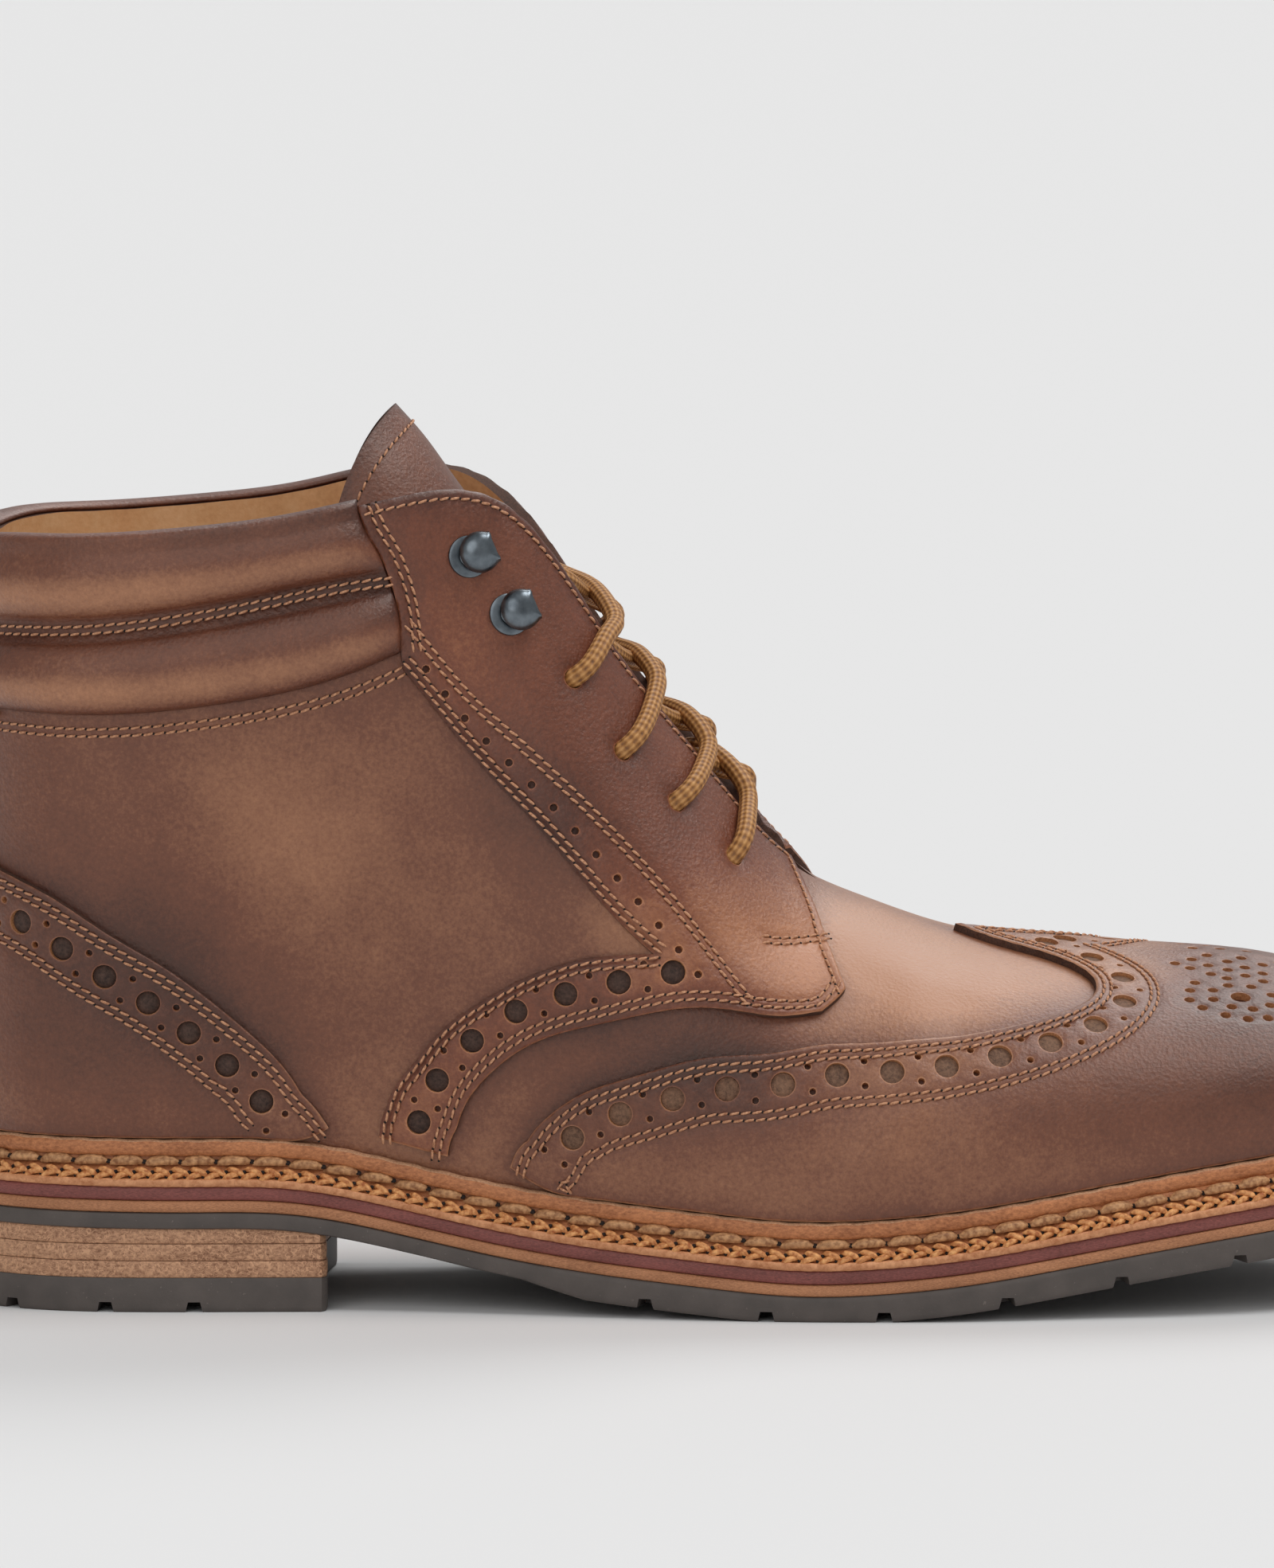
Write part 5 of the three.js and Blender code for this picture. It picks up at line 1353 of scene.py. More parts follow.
    def _facing(self, side: Side, materials: Sequence[bpy.types.Material]) -> None:
        """One facing with its band, arch and lace holes."""
        name = "facing_" + side.name.lower()
        panel = Panel(name + "_leather", self.facing_outline, sides=(side,))
        front = LAST.beside(curve_run(((0.288, 1.0),) + FACING_TOP[1:] + FACING_FRONT[1:]), side, -1.9)
        corner = LAST.beside(curve_run(FACING_CORNER + FACING_BOTTOM[1:]), side, -2.3)
        arc, left = (LAST.beside(curve_run(places), side, -1.6) for places in (ARC_UPPER, BAND_LEFT))
        seams = [(front[front[:, 1] < 0.996], 1), (from_floor(corner, side), 2), (from_floor(arc, side), 2),
                 (left, 2), (curve_run(BAND_RIGHT), 2), (curve_run(BAR_TACK), 2),
                 (LAST.beside(curve_run(COLLAR_SEAM), side, -3.0), 2)]
        panel.seams = [self.seam(side, run, rows) for run, rows in seams]
        middle = from_floor(LAST.beside(curve_run(FACING_BOTTOM), side, -7.2), side)
        holes = [hole for hole in brogue_row(middle[::-1], side, 10.6, 0.55)
                 if hole.t < self.last_arc_hole - (0.014 if hole.diameter < 3 else 0)]
        band = curve_run(BAND_HOLES)
        spots = respace(np.concatenate([LAST.trace(band, side), band], 1), 6.4)
        holes += [Hole(float(t), float(v), 1.6) for t, v in spots[:, 3:]]
        self._punch(panel, side, holes, (0.45, 0.65, 0), [Hole(t, v, 4.0) for t, v in LACE_HOLES])
        settle(panel.build(materials), "upper_leather", name)


@dataclass
class UpperWall:
    """The quarter and vamp under the panels, with its lining inside."""

    finishes: Finishes
    holes: list[Array]
    stations: int = 230
    bands: int = 74
    lining_pad: float = 1.3

    def build(self) -> None:
        """Builds the closed wall, face outside and lining inside."""
        t = np.linspace(0, 1, self.stations)
        t[np.abs(t - LAST.throat_t).argmin()] = LAST.throat_t
        grid_t, grid_v = (a.ravel() for a in np.meshgrid(t, np.linspace(0, 1, self.bands), indexing="ij"))
        n, step = len(grid_t), self.bands
        starts = range(0, n - step, step)
        rims = [a + step - 1 for a in starts if grid_t[a + step] <= LAST.throat_t + 1e-9]
        turned = [(a + n, a + step + n, a + step, a) for a in starts]
        turned += [(a, a + step, a + step + n, a + n) for a in rims]
        quads = grid_faces(self.stations, step)
        shell = Shell()
        for side in BOTH:
            edges = [LAST.trace(curve_run(places), side)
                     for places in (WING_EDGE, COUNTER_EDGE, FACING_BOTTOM, FACING_FRONT)]
            outer = LAST.skin(grid_t, grid_v, side, 0.0)
            pad = self.lining_pad * smoothstep(grid_v, 0.76, 0.86) * smoothstep(0.34 - grid_t, 0.0, 0.04)
            ripple = 0.25 * np.sin(grid_t * SHEET_T * 0.55 + 1.3 * np.sin(grid_t * 47))
            inner = LAST.skin(grid_t, grid_v, side, -UPPER_WALL - pad * (1 + ripple))
            # Painted shade: darker next to the edges of the panels that lie over the wall, with some
            # burnishing, and round the holes punched in them, where the wall shows only in shade.
            dark = np.clip(0.7 * np.exp(-nearest(outer, np.concatenate(edges)) / 4.0)
                           + 0.9 * np.exp(-nearest(outer, self.holes) / 3.0), 0, 1)
            base = shell.add(np.concatenate([outer, inner]), np.concatenate([dark, dark * 0]),
                             np.tile(patches_of_tone_and_light(grid_t, grid_v), 2))
            flip = side is Side.MEDIAL
            shell.fill(quads, 0, base, flip)
            shell.fill(quads, 1, base + n, not flip)
            shell.fill(turned, 2, base, flip)
        materials = (self.finishes.leather, self.finishes.lining, self.finishes.raw_edge)
        settle(shell.build("upper_leather", materials, 0.01), "upper_leather", "upper")


@dataclass
class Collar:
    """Two padded rolls round the top of the shaft, the upper one turned over the rim."""

    finishes: Finishes
    swell: float = 4.1
    valley: float = 0.13
    tuck: float = 8.0
    edge: float = 1.3
    rim_rise: float = 1.5
    stations: int = 210
    roll_steps: int = 26
    rim_steps: int = 8

    def build(self, overlays: Overlays) -> None:
        """Builds the rolls, and lists their seams."""
        low_line = NaturalSpline(*zip(*[(t, (v,)) for t, v in COLLAR_LOW]))
        mid_line = NaturalSpline(*zip(*[(t, (v,)) for t, v in COLLAR_MID]))
        end_line = NaturalSpline(*zip(*[(v, (t,)) for t, v in COLLAR_SEAM]))

        def height(t: Array, bottom: int, u: float) -> Array:
            lines = [low_line(t)[:, 0], mid_line(t)[:, 0], np.ones_like(t)]
            return lines[bottom] + (lines[bottom + 1] - lines[bottom]) * u

        shell = Shell()
        share = np.linspace(0, 1, self.stations)
        roll = np.linspace(0, 1, self.roll_steps)
        for side in BOTH:
            sheets = []
            for bottom in (0, 1):
                for u in roll[1:] if bottom else roll * (1 - self.valley):
                    t = share * end_line(np.clip(height(share * 0.3, bottom, u), 0.845, 1))[:, 0]
                    v = height(t, bottom, u)
                    fade = np.sqrt(1 - (1 - np.clip((1 - share) * 100 / self.tuck, 0, 1)) ** 2)
                    inset = (u - self.valley * bottom) / (1 - self.valley)
                    bulge = math.sin(math.pi * min(max(inset, 0), 1 if bottom == 0 else 0.80)) ** 0.55
                    wrinkle = 0.05 * np.sin(t * SHEET_T * 0.7 + 3 * u + 2 * np.sin(t * 61)) * bulge
                    lift = GAP + self.edge * 0.5 + (self.swell * bulge + wrinkle) * (0.12 + 0.88 * fade)
                    # Painted light on the roll: lighter low on it as a painted reflection of the pale floor,
                    # darker towards its top as painted shade.
                    tone = 0.75 * math.sin(math.pi * min(max(inset * 1.7, 0), 1))
                    tone -= 0.45 * max(inset - 0.45, 0)
                    if not sheets:
                        sheets.append((t, v, 0 * t - 0.1, 0 * t, 0 * t))
                    sheets.append((t, v, lift, 0 * t, 0 * t + tone))
            t, one, inner = sheets[-1][0], np.ones_like(share), -UPPER_WALL - 1.3
            centre, radius = (sheets[-1][2] + inner) / 2, (sheets[-1][2] - inner) / 2
            for angle in np.radians(np.linspace(0, 150, self.rim_steps + 1)[1:]):
                rise = one * self.rim_rise * math.sin(angle)
                sheets.append((t, one, centre + radius * math.cos(angle), rise, one * -0.2))
            t, v, lift, rise, tone = (np.stack(column, 1).ravel() for column in zip(*sheets))
            up = unit(LAST.tangents(t, np.minimum(v, 0.999), side)[1])
            # Painted shade: darker along the seams between the rolls and at their tucked ends.
            seam = np.minimum(np.abs(v - mid_line(t)[:, 0]), np.abs(v - low_line(t)[:, 0])) * SHEET_V
            ends = (end_line(np.clip(v, 0.845, 1))[:, 0] - t) * SHEET_T
            dark = np.clip(0.8 * np.exp(-seam / 2.0) + 0.8 * np.exp(-ends / 4.0), 0, 1)
            points = LAST.skin(t, v, side, lift) + up * rise[:, None]
            base = shell.add(points, dark, patches_of_tone_and_light(t, v) + tone)
            shell.fill(grid_faces(self.stations, len(sheets)), 0, base, side is Side.MEDIAL)
            overlays.seams.append(Seam(curve_run(COLLAR_MID), 2, side))
            below = LAST.beside(curve_run(COLLAR_LOW), side, -3.6)
            overlays.seams.append(Seam(below[below[:, 0] > 0], 2, side))
        piece = shell.build("collar_rolls", (self.finishes.leather,), 0.01, 70)
        thick = piece.modifiers.new("wall", "SOLIDIFY")
        thick.thickness = 0.9 * MM
        thick.offset = -1
        settle(piece, "upper_leather", "collar")


@dataclass
class StitchRow:
    """Inputs of one kind of stitch along a path."""

    pitch: float
    length: float
    thickness: float
    arch: float
    hole: float
    slant: float = 0.0


class Stitcher(Nodes):
    """Geometry Nodes that set stitches, and dark dots painted as the shade in the awl holes, along polylines
    with an outward attribute.
    """

    segments: int = 6
    sides: int = 5

    def __init__(self, yarn: bpy.types.Material, hole: bpy.types.Material) -> None:
        """Builds the tree once.

        Args:
            yarn: Material of the stitches.
            hole: Material of the dark dots between them, painted shade that stands for the awl holes.
        """
        super().__init__(bpy.data.node_groups.new("stitches_along_path", "GeometryNodeTree"))
        face = self.tree.interface
        face.new_socket("Geometry", in_out="INPUT", socket_type="NodeSocketGeometry")
        self.sockets = {name: face.new_socket(name, in_out="INPUT", socket_type="NodeSocketFloat").identifier
                        for name in ("Pitch", "Length", "Thickness", "Arch", "Hole", "Slant")}
        face.new_socket("Geometry", in_out="OUTPUT", socket_type="NodeSocketGeometry")
        put = self.tree.nodes.new("NodeGroupInput").outputs
        curve = self.add("GeometryNodeMeshToCurve", {"Mesh": put["Geometry"]})
        spaced = self.add("GeometryNodeResampleCurve", {"Curve": curve, "Length": put["Pitch"]},
                          mode="LENGTH")
        outward = self.add("GeometryNodeInputNamedAttribute", {"Name": "outward"}, data_type="FLOAT_VECTOR")
        upright = self.add("FunctionNodeAlignEulerToVector", {"Vector": outward}, axis="Z")
        along = self.add("GeometryNodeInputTangent")
        turned = self.add("FunctionNodeAlignEulerToVector", {"Rotation": upright, "Vector": along}, axis="X",
                          pivot_axis="Z")
        # Each awl hole is a flattened dark dot on the skin: painted shade, not a cut hole.
        dot = self.add("GeometryNodeMeshUVSphere", {"Segments": 6, "Rings": 4, "Radius": put["Hole"]})
        shift = self.xyz({0: self.math("MULTIPLY", put["Pitch"], 0.5)})
        dot = self.add("GeometryNodeTransform", {"Geometry": dot, "Scale": (1.0, 1.0, 0.45),
                                                 "Translation": shift})
        joined = self.add("GeometryNodeJoinGeometry")
        for shape, material in ((dot, hole), (self._stitch(put), yarn)):
            copies = self.add("GeometryNodeInstanceOnPoints",
                              {"Points": spaced, "Instance": shape, "Rotation": turned})
            real = self.add("GeometryNodeRealizeInstances", {0: copies})
            dyed = self.add("GeometryNodeSetMaterial", {"Geometry": real, "Material": material})
            self.tree.links.new(dyed, joined.node.inputs[0])
        smooth = self.add("GeometryNodeSetShadeSmooth", {"Geometry": joined})
        self.feed(self.tree.nodes.new("NodeGroupOutput"), {0: smooth})

    def _stitch(self, put: bpy.types.NodeOutputs) -> Socket:
        """One arched thread with tapered ends, along X and up Z."""
        start, end = (self.xyz({0: self.math("MULTIPLY", put["Length"], share)}) for share in (-0.5, 0.5))
        line = self.add("GeometryNodeCurvePrimitiveLine", {"Start": start, "End": end})
        steps = self.add("GeometryNodeResampleCurve", {"Curve": line, "Count": self.segments}, mode="COUNT")
        centred = self.math("ABSOLUTE", self.mix(-1.0, (self.add("GeometryNodeSplineParameter"), 2.0)))
        drop = self.math("POWER", centred, 2.6)
        height = self.math("MULTIPLY", self.math("SUBTRACT", 0.45, drop), put["Arch"])
        arched = self.add("GeometryNodeSetPosition", {"Geometry": steps, "Offset": self.xyz({2: height})})
        taper = self.mix(1.0, (self.math("POWER", centred, 4.0), -0.5))
        profile = self.add("GeometryNodeCurvePrimitiveCircle",
                           {"Resolution": self.sides, "Radius": put["Thickness"]})
        swept = self.add("GeometryNodeCurveToMesh", {"Curve": arched, "Profile Curve": profile,
                                                     "Scale": taper, "Fill Caps": True})
        return self.add("GeometryNodeTransform", {"Geometry": swept, "Rotation": self.xyz({2: put["Slant"]})})

    def sew(self, name: str, lines: Sequence[tuple[Array, Array]], kind: StitchRow) -> bpy.types.Object:
        """Sews stitches along lines.

        Args:
            name: The piece's name.
            lines: (points in mm, outward unit vectors) of each line.
            kind: The stitch.

        Returns:
            The stitches as one plain mesh.
        """
        edges = []
        count = 0
        for line, _ in lines:
            edges += [(count + k, count + k + 1) for k in range(len(line) - 1)]
            count += len(line)
        mesh = bpy.data.meshes.new(name + "_path")
        mesh.from_pydata(np.concatenate([line * MM for line, _ in lines]).tolist(), edges, [])
        layer = mesh.attributes.new("outward", "FLOAT_VECTOR", "POINT")
        layer.data.foreach_set("vector", np.concatenate([out for _, out in lines]).astype(np.float32).ravel())
        carrier = place_object(name + "_path", mesh)
        modifier = carrier.modifiers.new("stitches", "NODES")
        modifier.node_group = self.tree
        sizes = {"Pitch": kind.pitch, "Length": kind.length, "Thickness": kind.thickness / 2,
                 "Arch": kind.arch, "Hole": kind.hole}
        for key, size in sizes.items():
            modifier[self.sockets[key]] = size * MM
        modifier[self.sockets["Slant"]] = kind.slant
        result = applied(carrier)
        result.name = name
        bpy.data.objects.remove(carrier)
        return place_object(name, result)


def seam_lines(seams: Sequence[Seam], height: Callable[[Array, Array, Side], Array | float]
               ) -> list[tuple[Array, Array]]:
    """The 3D lines of seams at a height over the skin."""
    lines = []
    for seam in seams:
        for row in seam_rows(seam):
            row = row[(row[:, 1] < 0.998) & (row[:, 0] >= 0)]
            if len(row) < 3:
                continue
            t, v = row[:, 0], row[:, 1]
            points = LAST.skin(t, v, seam.side, height(t, v, seam.side))
            lines.append((points, LAST.normal(t, v, seam.side)))
    return lines


@dataclass(frozen=True)
class TongueRow:
    """A section of the tongue in shares of the last, the tip and the ball width."""

    along: float
    proud: float
    half: float
    deep: float
    hang: float


@dataclass
class Tongue:
    """A soft folded tongue that rises over the collar."""

    finishes: Finishes
    thickness: float = 2.2
    tip: float = 16.6
    sway: float = 2.2
    rows: int = 120
    columns: int = 60
    table: tuple[TongueRow, ...] = (
        TongueRow(0.596, -0.33, 0.2, 0.07, 0), TongueRow(0.553, -0.37, 0.22, 0.075, 0),
        TongueRow(0.5, -0.38, 0.225, 0.11, 0), TongueRow(0.439, -0.27, 0.245, 0.165, 0),
        TongueRow(0.371, -0.27, 0.265, 0.2, 0), TongueRow(0.32, -0.47, 0.27, 0.225, 0),
        TongueRow(0.286, -0.41, 0.265, 0.24, 0.02), TongueRow(0.257, 0.04, 0.25, 0.25, 0.05),
        TongueRow(0.234, 0.55, 0.235, 0.255, 0.075), TongueRow(0.212, 1, 0.215, 0.255, 0.095),
    )

    def section(self, u: Array, share: Array) -> Array:
        """Points of the tongue's outer face.

        Args:
            u: 0 inside the vamp to 1 at the tip.
            share: -1 at the lateral edge to 1 at the medial one.

        Returns:
            Points in mm.
        """
        keys = np.linspace(0, 1, len(self.table))
        x = np.array([row.along * LAST_LENGTH for row in self.table])
        top_t = np.linspace(LAST.row_t[4], LAST.row_t[15], 400)
        line = LAST.face(top_t, 1.0, Side.LATERAL)
        z = np.interp(x, line[:, 0], line[:, 2]) + np.array([row.proud for row in self.table]) * self.tip
        spline = NaturalSpline(keys, [(x[i], z[i], row.half, row.deep, row.hang)
                                      for i, row in enumerate(self.table)])
        here, ahead = spline(u), spline(np.clip(u + 0.004, 0, 1))
        behind = spline(np.clip(u - 0.004, 0, 1))
        up = (ahead - behind)[:, :2]
        up /= np.linalg.norm(up, axis=1, keepdims=True)
        angle = share * math.pi / 2
        back = 1 - np.cos(angle)
        out = np.zeros((len(here), 3))
        deep = here[:, 3] * BALL_WIDTH * back
        hang = here[:, 4] * BALL_WIDTH * back ** 2
        out[:, 0] = here[:, 0] - up[:, 1] * deep - up[:, 0] * hang
        out[:, 2] = here[:, 1] + up[:, 0] * deep - up[:, 1] * hang
        out[:, 1] = self.sway + here[:, 2] * BALL_WIDTH * np.sin(angle)
        return out

    def build(self, stitcher: Stitcher) -> None:
        """Builds the tongue and its hem stitching."""
        u, share = (a.ravel() for a in np.meshgrid(np.linspace(0, 1, self.rows),
                                                   np.linspace(1, -1, self.columns), indexing="ij"))
        outer = self.section(u, share)
        across = self.section(u, np.clip(share + 0.01, -1.2, 1.2)) - self.section(u, share - 0.01)
        up = self.section(np.clip(u + 0.005, 0, 1), share) - self.section(np.clip(u - 0.005, 0, 1), share)
        normal = np.cross(across, up)
        normal /= np.linalg.norm(normal, axis=1, keepdims=True)
        outer = outer + normal * (0.25 * np.sin(u * 23 + 3 * share) * np.sin(share * 5))[:, None] * 0.5
        inner = outer - normal * self.thickness
        n = len(outer)
        faces = grid_faces(self.rows, self.columns)
        slots = [0] * len(faces)
        under = [tuple(k + n for k in quad[::-1]) for quad in faces]
        faces += under
        slots += [1] * len(under)
        rim = list(range(self.columns)) + [i * self.columns + self.columns - 1 for i in range(1, self.rows)]
        rim += [(self.rows - 1) * self.columns + j for j in range(self.columns - 2, -1, -1)]
        rim += [i * self.columns for i in range(self.rows - 2, 0, -1)]
        for a, b in zip(rim, rim[1:] + rim[:1]):
            faces.append((a, b, b + n, a + n))
            slots.append(1)
        edge = np.minimum(1 - np.abs(share), (1 - u) * 2.2)
        dark = np.clip(0.7 * np.exp(-edge / 0.08), 0, 1)
        flat = 0 * dark
        piece = make_piece("tongue_leather", np.concatenate([outer, inner]), faces,
                           (self.finishes.leather, self.finishes.raw_edge), slots,
                           {"burnish": np.concatenate([dark, dark]), "light_and_tone": np.concatenate([flat, flat])})
        settle(piece, "upper_leather", "tongue")
        hem_share = np.linspace(-0.93, 0.93, 60)
        hem_u = np.full(60, 0.935)
        hem = self.section(hem_u, hem_share)
        side = self.section(hem_u, hem_share + 0.01) - self.section(hem_u, hem_share - 0.01)
        rise = self.section(hem_u + 0.01, hem_share) - self.section(hem_u - 0.01, hem_share)
        out = np.cross(side, rise)
        out /= np.linalg.norm(out, axis=1, keepdims=True)
        stitches = stitcher.sew("tongue_hem_stitches", [(hem + out * 0.15, out)],
                                StitchRow(STITCH_PITCH, 1.9, 0.5, 0.3, 0.25, 0.16))
        settle(stitches, "upper_leather")


@dataclass
class Lacing:
    """One round lace run criss-cross through four holes a side, its ends under the top of the facings."""

    finishes: Finishes
    diameter: float = 3.8
    sides: int = 14

    def path(self) -> Array:
        """Listed points of the whole lace, end to end, in mm."""
        radius = self.diameter / 2
        over = GAP + OVERLAY + radius * 0.85

        def across(t: float, share: float, side: Side, lift: float) -> Array:
            near, far = LAST.face(t, 1.0, side)[0], LAST.face(t, 1.0, side.other)[0]
            slope = (LAST.face(t - 0.01, 1.0, side) - LAST.face(t + 0.01, 1.0, side))[0]
            slope[1] = 0
            slope /= np.linalg.norm(slope)
            front = np.array([slope[2], 0, -slope[0]])
            return near + (far - near) * share + front * lift

        def strand(k: int, side: Side, high: bool) -> list[Array]:
            t, v = LACE_HOLES[k]
            edge = t + LACE_LEAN[k]
            top = k + 1 == len(LACE_HOLES)
            step = 0.03 if top else t - LACE_HOLES[k + 1][0]
            goal_t, goal_v = (t - 0.9 * step, 0.93) if top else (LACE_HOLES[k + 1][0], LACE_HOLES[k + 1][1])
            lift = 1.4 if high else -0.8
            under = -UPPER_WALL - radius - 0.5
            return [LAST.skin(t, v, side, -2.4)[0],
                    LAST.skin(t, v, side, 0.6)[0],
                    LAST.skin(t + 0.25 * (edge - t), v + 0.024, side, over)[0],
                    LAST.skin(t + 0.75 * (edge - t), v + 0.09, side, over + 0.3)[0],
                    across(edge, 0.02, side, radius + 1.6),
                    across(edge - 0.10 * step, 0.13, side, radius + 2.3),
                    across(edge - 0.42 * step, 0.5, side, radius + 0.2 + lift),
                    across(edge - 0.72 * step, 0.86, side, -0.4),
                    LAST.skin(goal_t + 0.35 * step, 0.985, side.other, under)[0],
                    LAST.skin(goal_t + 0.05 * step, goal_v + 0.03, side.other, under)[0]]

        def run(side: Side, high: bool) -> list[Array]:
            points = []
            for k in range(len(LACE_HOLES)):
                points += strand(k, side, high if k % 2 == 0 else not high)
                side = side.other
            return points

        first, second = run(Side.LATERAL, True), run(Side.MEDIAL, False)
        t, v = LACE_HOLES[0]
        bar = [LAST.skin(t + 0.004, v + 0.05, Side.LATERAL, -UPPER_WALL - radius - 0.8)[0],
               across(t + 0.002, 0.5, Side.LATERAL, -radius - 1.2),
               LAST.skin(t + 0.004, v + 0.05, Side.MEDIAL, -UPPER_WALL - radius - 0.8)[0]]
        return np.array(first[::-1] + bar + second)

    def build(self) -> None:
        """Builds the braided tube."""
        points = self.path()
        keys = np.concatenate([[0], np.cumsum(np.sqrt(np.linalg.norm(np.diff(points, axis=0), axis=1)))])
        fine = NaturalSpline(keys, points)(np.linspace(0, keys[-1], 1800))
        line = respace(fine, 0.75)
        length = float(np.linalg.norm(np.diff(line, axis=0), axis=1).sum())
        LOG.info("lace length %.0f mm", length)
        tangent = np.gradient(line, axis=0)
        tangent /= np.linalg.norm(tangent, axis=1, keepdims=True)
        frame = np.zeros_like(line)
        frame[0] = np.cross(tangent[0], (0, 0, 1.0))
        frame[0] /= np.linalg.norm(frame[0])
        for i in range(1, len(line)):
            side = frame[i - 1] - tangent[i] * (frame[i - 1] @ tangent[i])
            frame[i] = side / np.linalg.norm(side)
        second = np.cross(tangent, frame)
        angle = np.arange(self.sides)[:, None] * 2 * math.pi / self.sides
        radius = self.diameter / 2
        ring = np.cos(angle) * frame[:, None] + np.sin(angle) * second[:, None]
        tube = (line[:, None] + ring * radius).reshape(-1, 3)
        n = len(line)
        faces = [quad[::-1] for quad in grid_faces(n, self.sides, closed_columns=True)]
        caps = [tuple(range(self.sides))[::-1], tuple(range((n - 1) * self.sides, n * self.sides))]
        piece = make_piece("braided_lace", tube, faces + caps, (self.finishes.lace,))
        uv = piece.data.uv_layers.new(name="braid")
        run = np.concatenate([[0], np.cumsum(np.linalg.norm(np.diff(line, axis=0), axis=1))])
        coordinates = []
        for polygon in piece.data.polygons:
            corners = list(polygon.vertices)
            wraps = np.ptp(np.mod(corners, self.sides)) > self.sides / 2
            for c in corners:
                around = (c % self.sides) / self.sides
                if wraps and around < 0.5:
                    around += 1
                coordinates += [around, float(run[c // self.sides])]
        uv.data.foreach_set("uv", coordinates)
        settle(piece, "lace", *(f"lace_crossing_{k + 1}" for k in range(4)))


@dataclass
class SpeedHook:
    """A pressed speed hook: riveted foot, short neck and a domed leaf with a cut front."""

    finishes: Finishes
    foot: float = 8.4
    leaf: float = 8.2
    height: float = 2.9
    facing_way: tuple[float, float, float] = (0.92, 0.0, 0.39)

    def build(self) -> None:
        """Builds both hooks of each side."""
        for side, word in ((Side.LATERAL, "lateral"), (Side.MEDIAL, "medial")):
            for k, (t, v) in enumerate(HOOKS):
                self._one(f"speed_hook_{word}_{k + 1}", f"hook_{word}_{k + 1}", t, v, side)

    def _lathe(self, profile: Sequence[Point2], steps: int = 36) -> tuple[Array, list]:
        """A turned body from (radius, height) pairs, closed at both ends on the axis."""
        angle = np.arange(steps) * 2 * math.pi / steps
        rows = [np.stack([r * np.cos(angle), r * np.sin(angle), np.full(steps, h)], 1) for r, h in profile]
        points = np.concatenate(rows)
        faces = grid_faces(len(profile), steps, closed_columns=True)
        last = (len(profile) - 1) * steps
        return points, [*faces, tuple(range(steps))[::-1], tuple(range(last, last + steps))]

    def _one(self, name: str, node: str, t: float, v: float, side: Side) -> None:
        """One hook, set square on the facing with its mouth towards the heel's far side."""
        r = self.foot / 2
        foot, foot_faces = self._lathe(((0.2, 0), (r - 0.15, 0), (r, 0.25), (r - 0.1, 0.6), (r - 0.6, 0.8),
                                        (2.0, 0.85), (1.7, 1.2), (1.6, 2.6), (0.2, 2.7)))
        rings, steps = 12, 56
        angle = np.arange(steps) * 2 * math.pi / steps
        off = np.abs((angle + math.pi) % (2 * math.pi) - math.pi)
        chord = self.leaf / 2 * math.cos(math.radians(42)) / np.maximum(np.cos(off), 1e-3)
        reach = np.where(off < math.radians(42), chord, self.leaf / 2)
        reach = reach * (1 + 0.10 * np.exp(-((off - math.radians(42)) / 0.13) ** 2))
        front = np.clip(np.cos(angle), 0, 1)
        top = []
        for k in range(rings + 1):
            share = k / rings
            bulge = math.sqrt(max(1 - share ** 2.2, 0))
            top.append(np.stack([reach * share * np.cos(angle), reach * share * np.sin(angle),
                                 self.height - 0.6 + 2.5 * bulge + 0.8 * front * share ** 2], 1))
        under = [np.stack([row[:, 0] * 0.93, row[:, 1] * 0.93, row[:, 2] - 0.7], 1) for row in top[:0:-1]]
        rows = top + under
        leaf = np.concatenate(rows) + (self.leaf * 0.22, 0, 0)
        quads = grid_faces(len(rows), steps, closed_columns=True)
        end = tuple(range((len(rows) - 1) * steps, len(rows) * steps))
        leaf_faces = [tuple(len(foot) + k for k in face) for face in [*quads, end]]
        points = np.concatenate([foot, leaf])
        out = LAST.normal(t, v, side)[0]
        ahead = np.array(self.facing_way)
        ahead = ahead - out * (ahead @ out)
        ahead /= np.linalg.norm(ahead)
        third = np.cross(out, ahead)
        at = LAST.skin(t, v, side, GAP + OVERLAY - 0.15)[0]
        placed = at + points @ np.stack([ahead, third, out])
        piece = make_piece(name, placed, foot_faces + leaf_faces, (self.finishes.metal,), weld=0.005,
                           sharp=40)
        turn_outwards(piece.data)
        settle(piece, "hook_metal", node)


class SoleRing:
    """Stations round the sole: feather line, outward direction and width of the welt."""

    welt_width: float = 6.8
    count: int = 360

    def __init__(self) -> None:
        """Lays the ring from the heel along the lateral side to the toe and back along the medial side."""
        t = np.linspace(0, 1, self.count)
        self.t = np.concatenate([t, t[-2:0:-1]])
        self.sides = [Side.LATERAL] * self.count + [Side.MEDIAL] * (self.count - 2)
        lateral = LAST.face(t, 0.0, Side.LATERAL)
        medial = LAST.face(t[-2:0:-1], 0.0, Side.MEDIAL)
        self.foot = np.concatenate([lateral, medial])
        ahead = np.roll(self.foot, -1, axis=0) - np.roll(self.foot, 1, axis=0)
        out = np.stack([ahead[:, 1], -ahead[:, 0], 0 * ahead[:, 0]], 1)
        out /= np.linalg.norm(out, axis=1, keepdims=True)
        for _ in range(6):
            out = (np.roll(out, 1, axis=0) + out * 2 + np.roll(out, -1, axis=0)) / 4
            out /= np.linalg.norm(out, axis=1, keepdims=True)
        self.out = out
        self.margin = LAST.row(self.t)["margin"] * self.welt_width

    def at(self, share: float | Array, inset: float = 0.0) -> Array:
        """Plan points at a share of the welt's width, less an inset in mm."""
        reach = self.margin * share - inset
        return (self.foot + self.out * np.asarray(reach)[:, None])[:, :2]


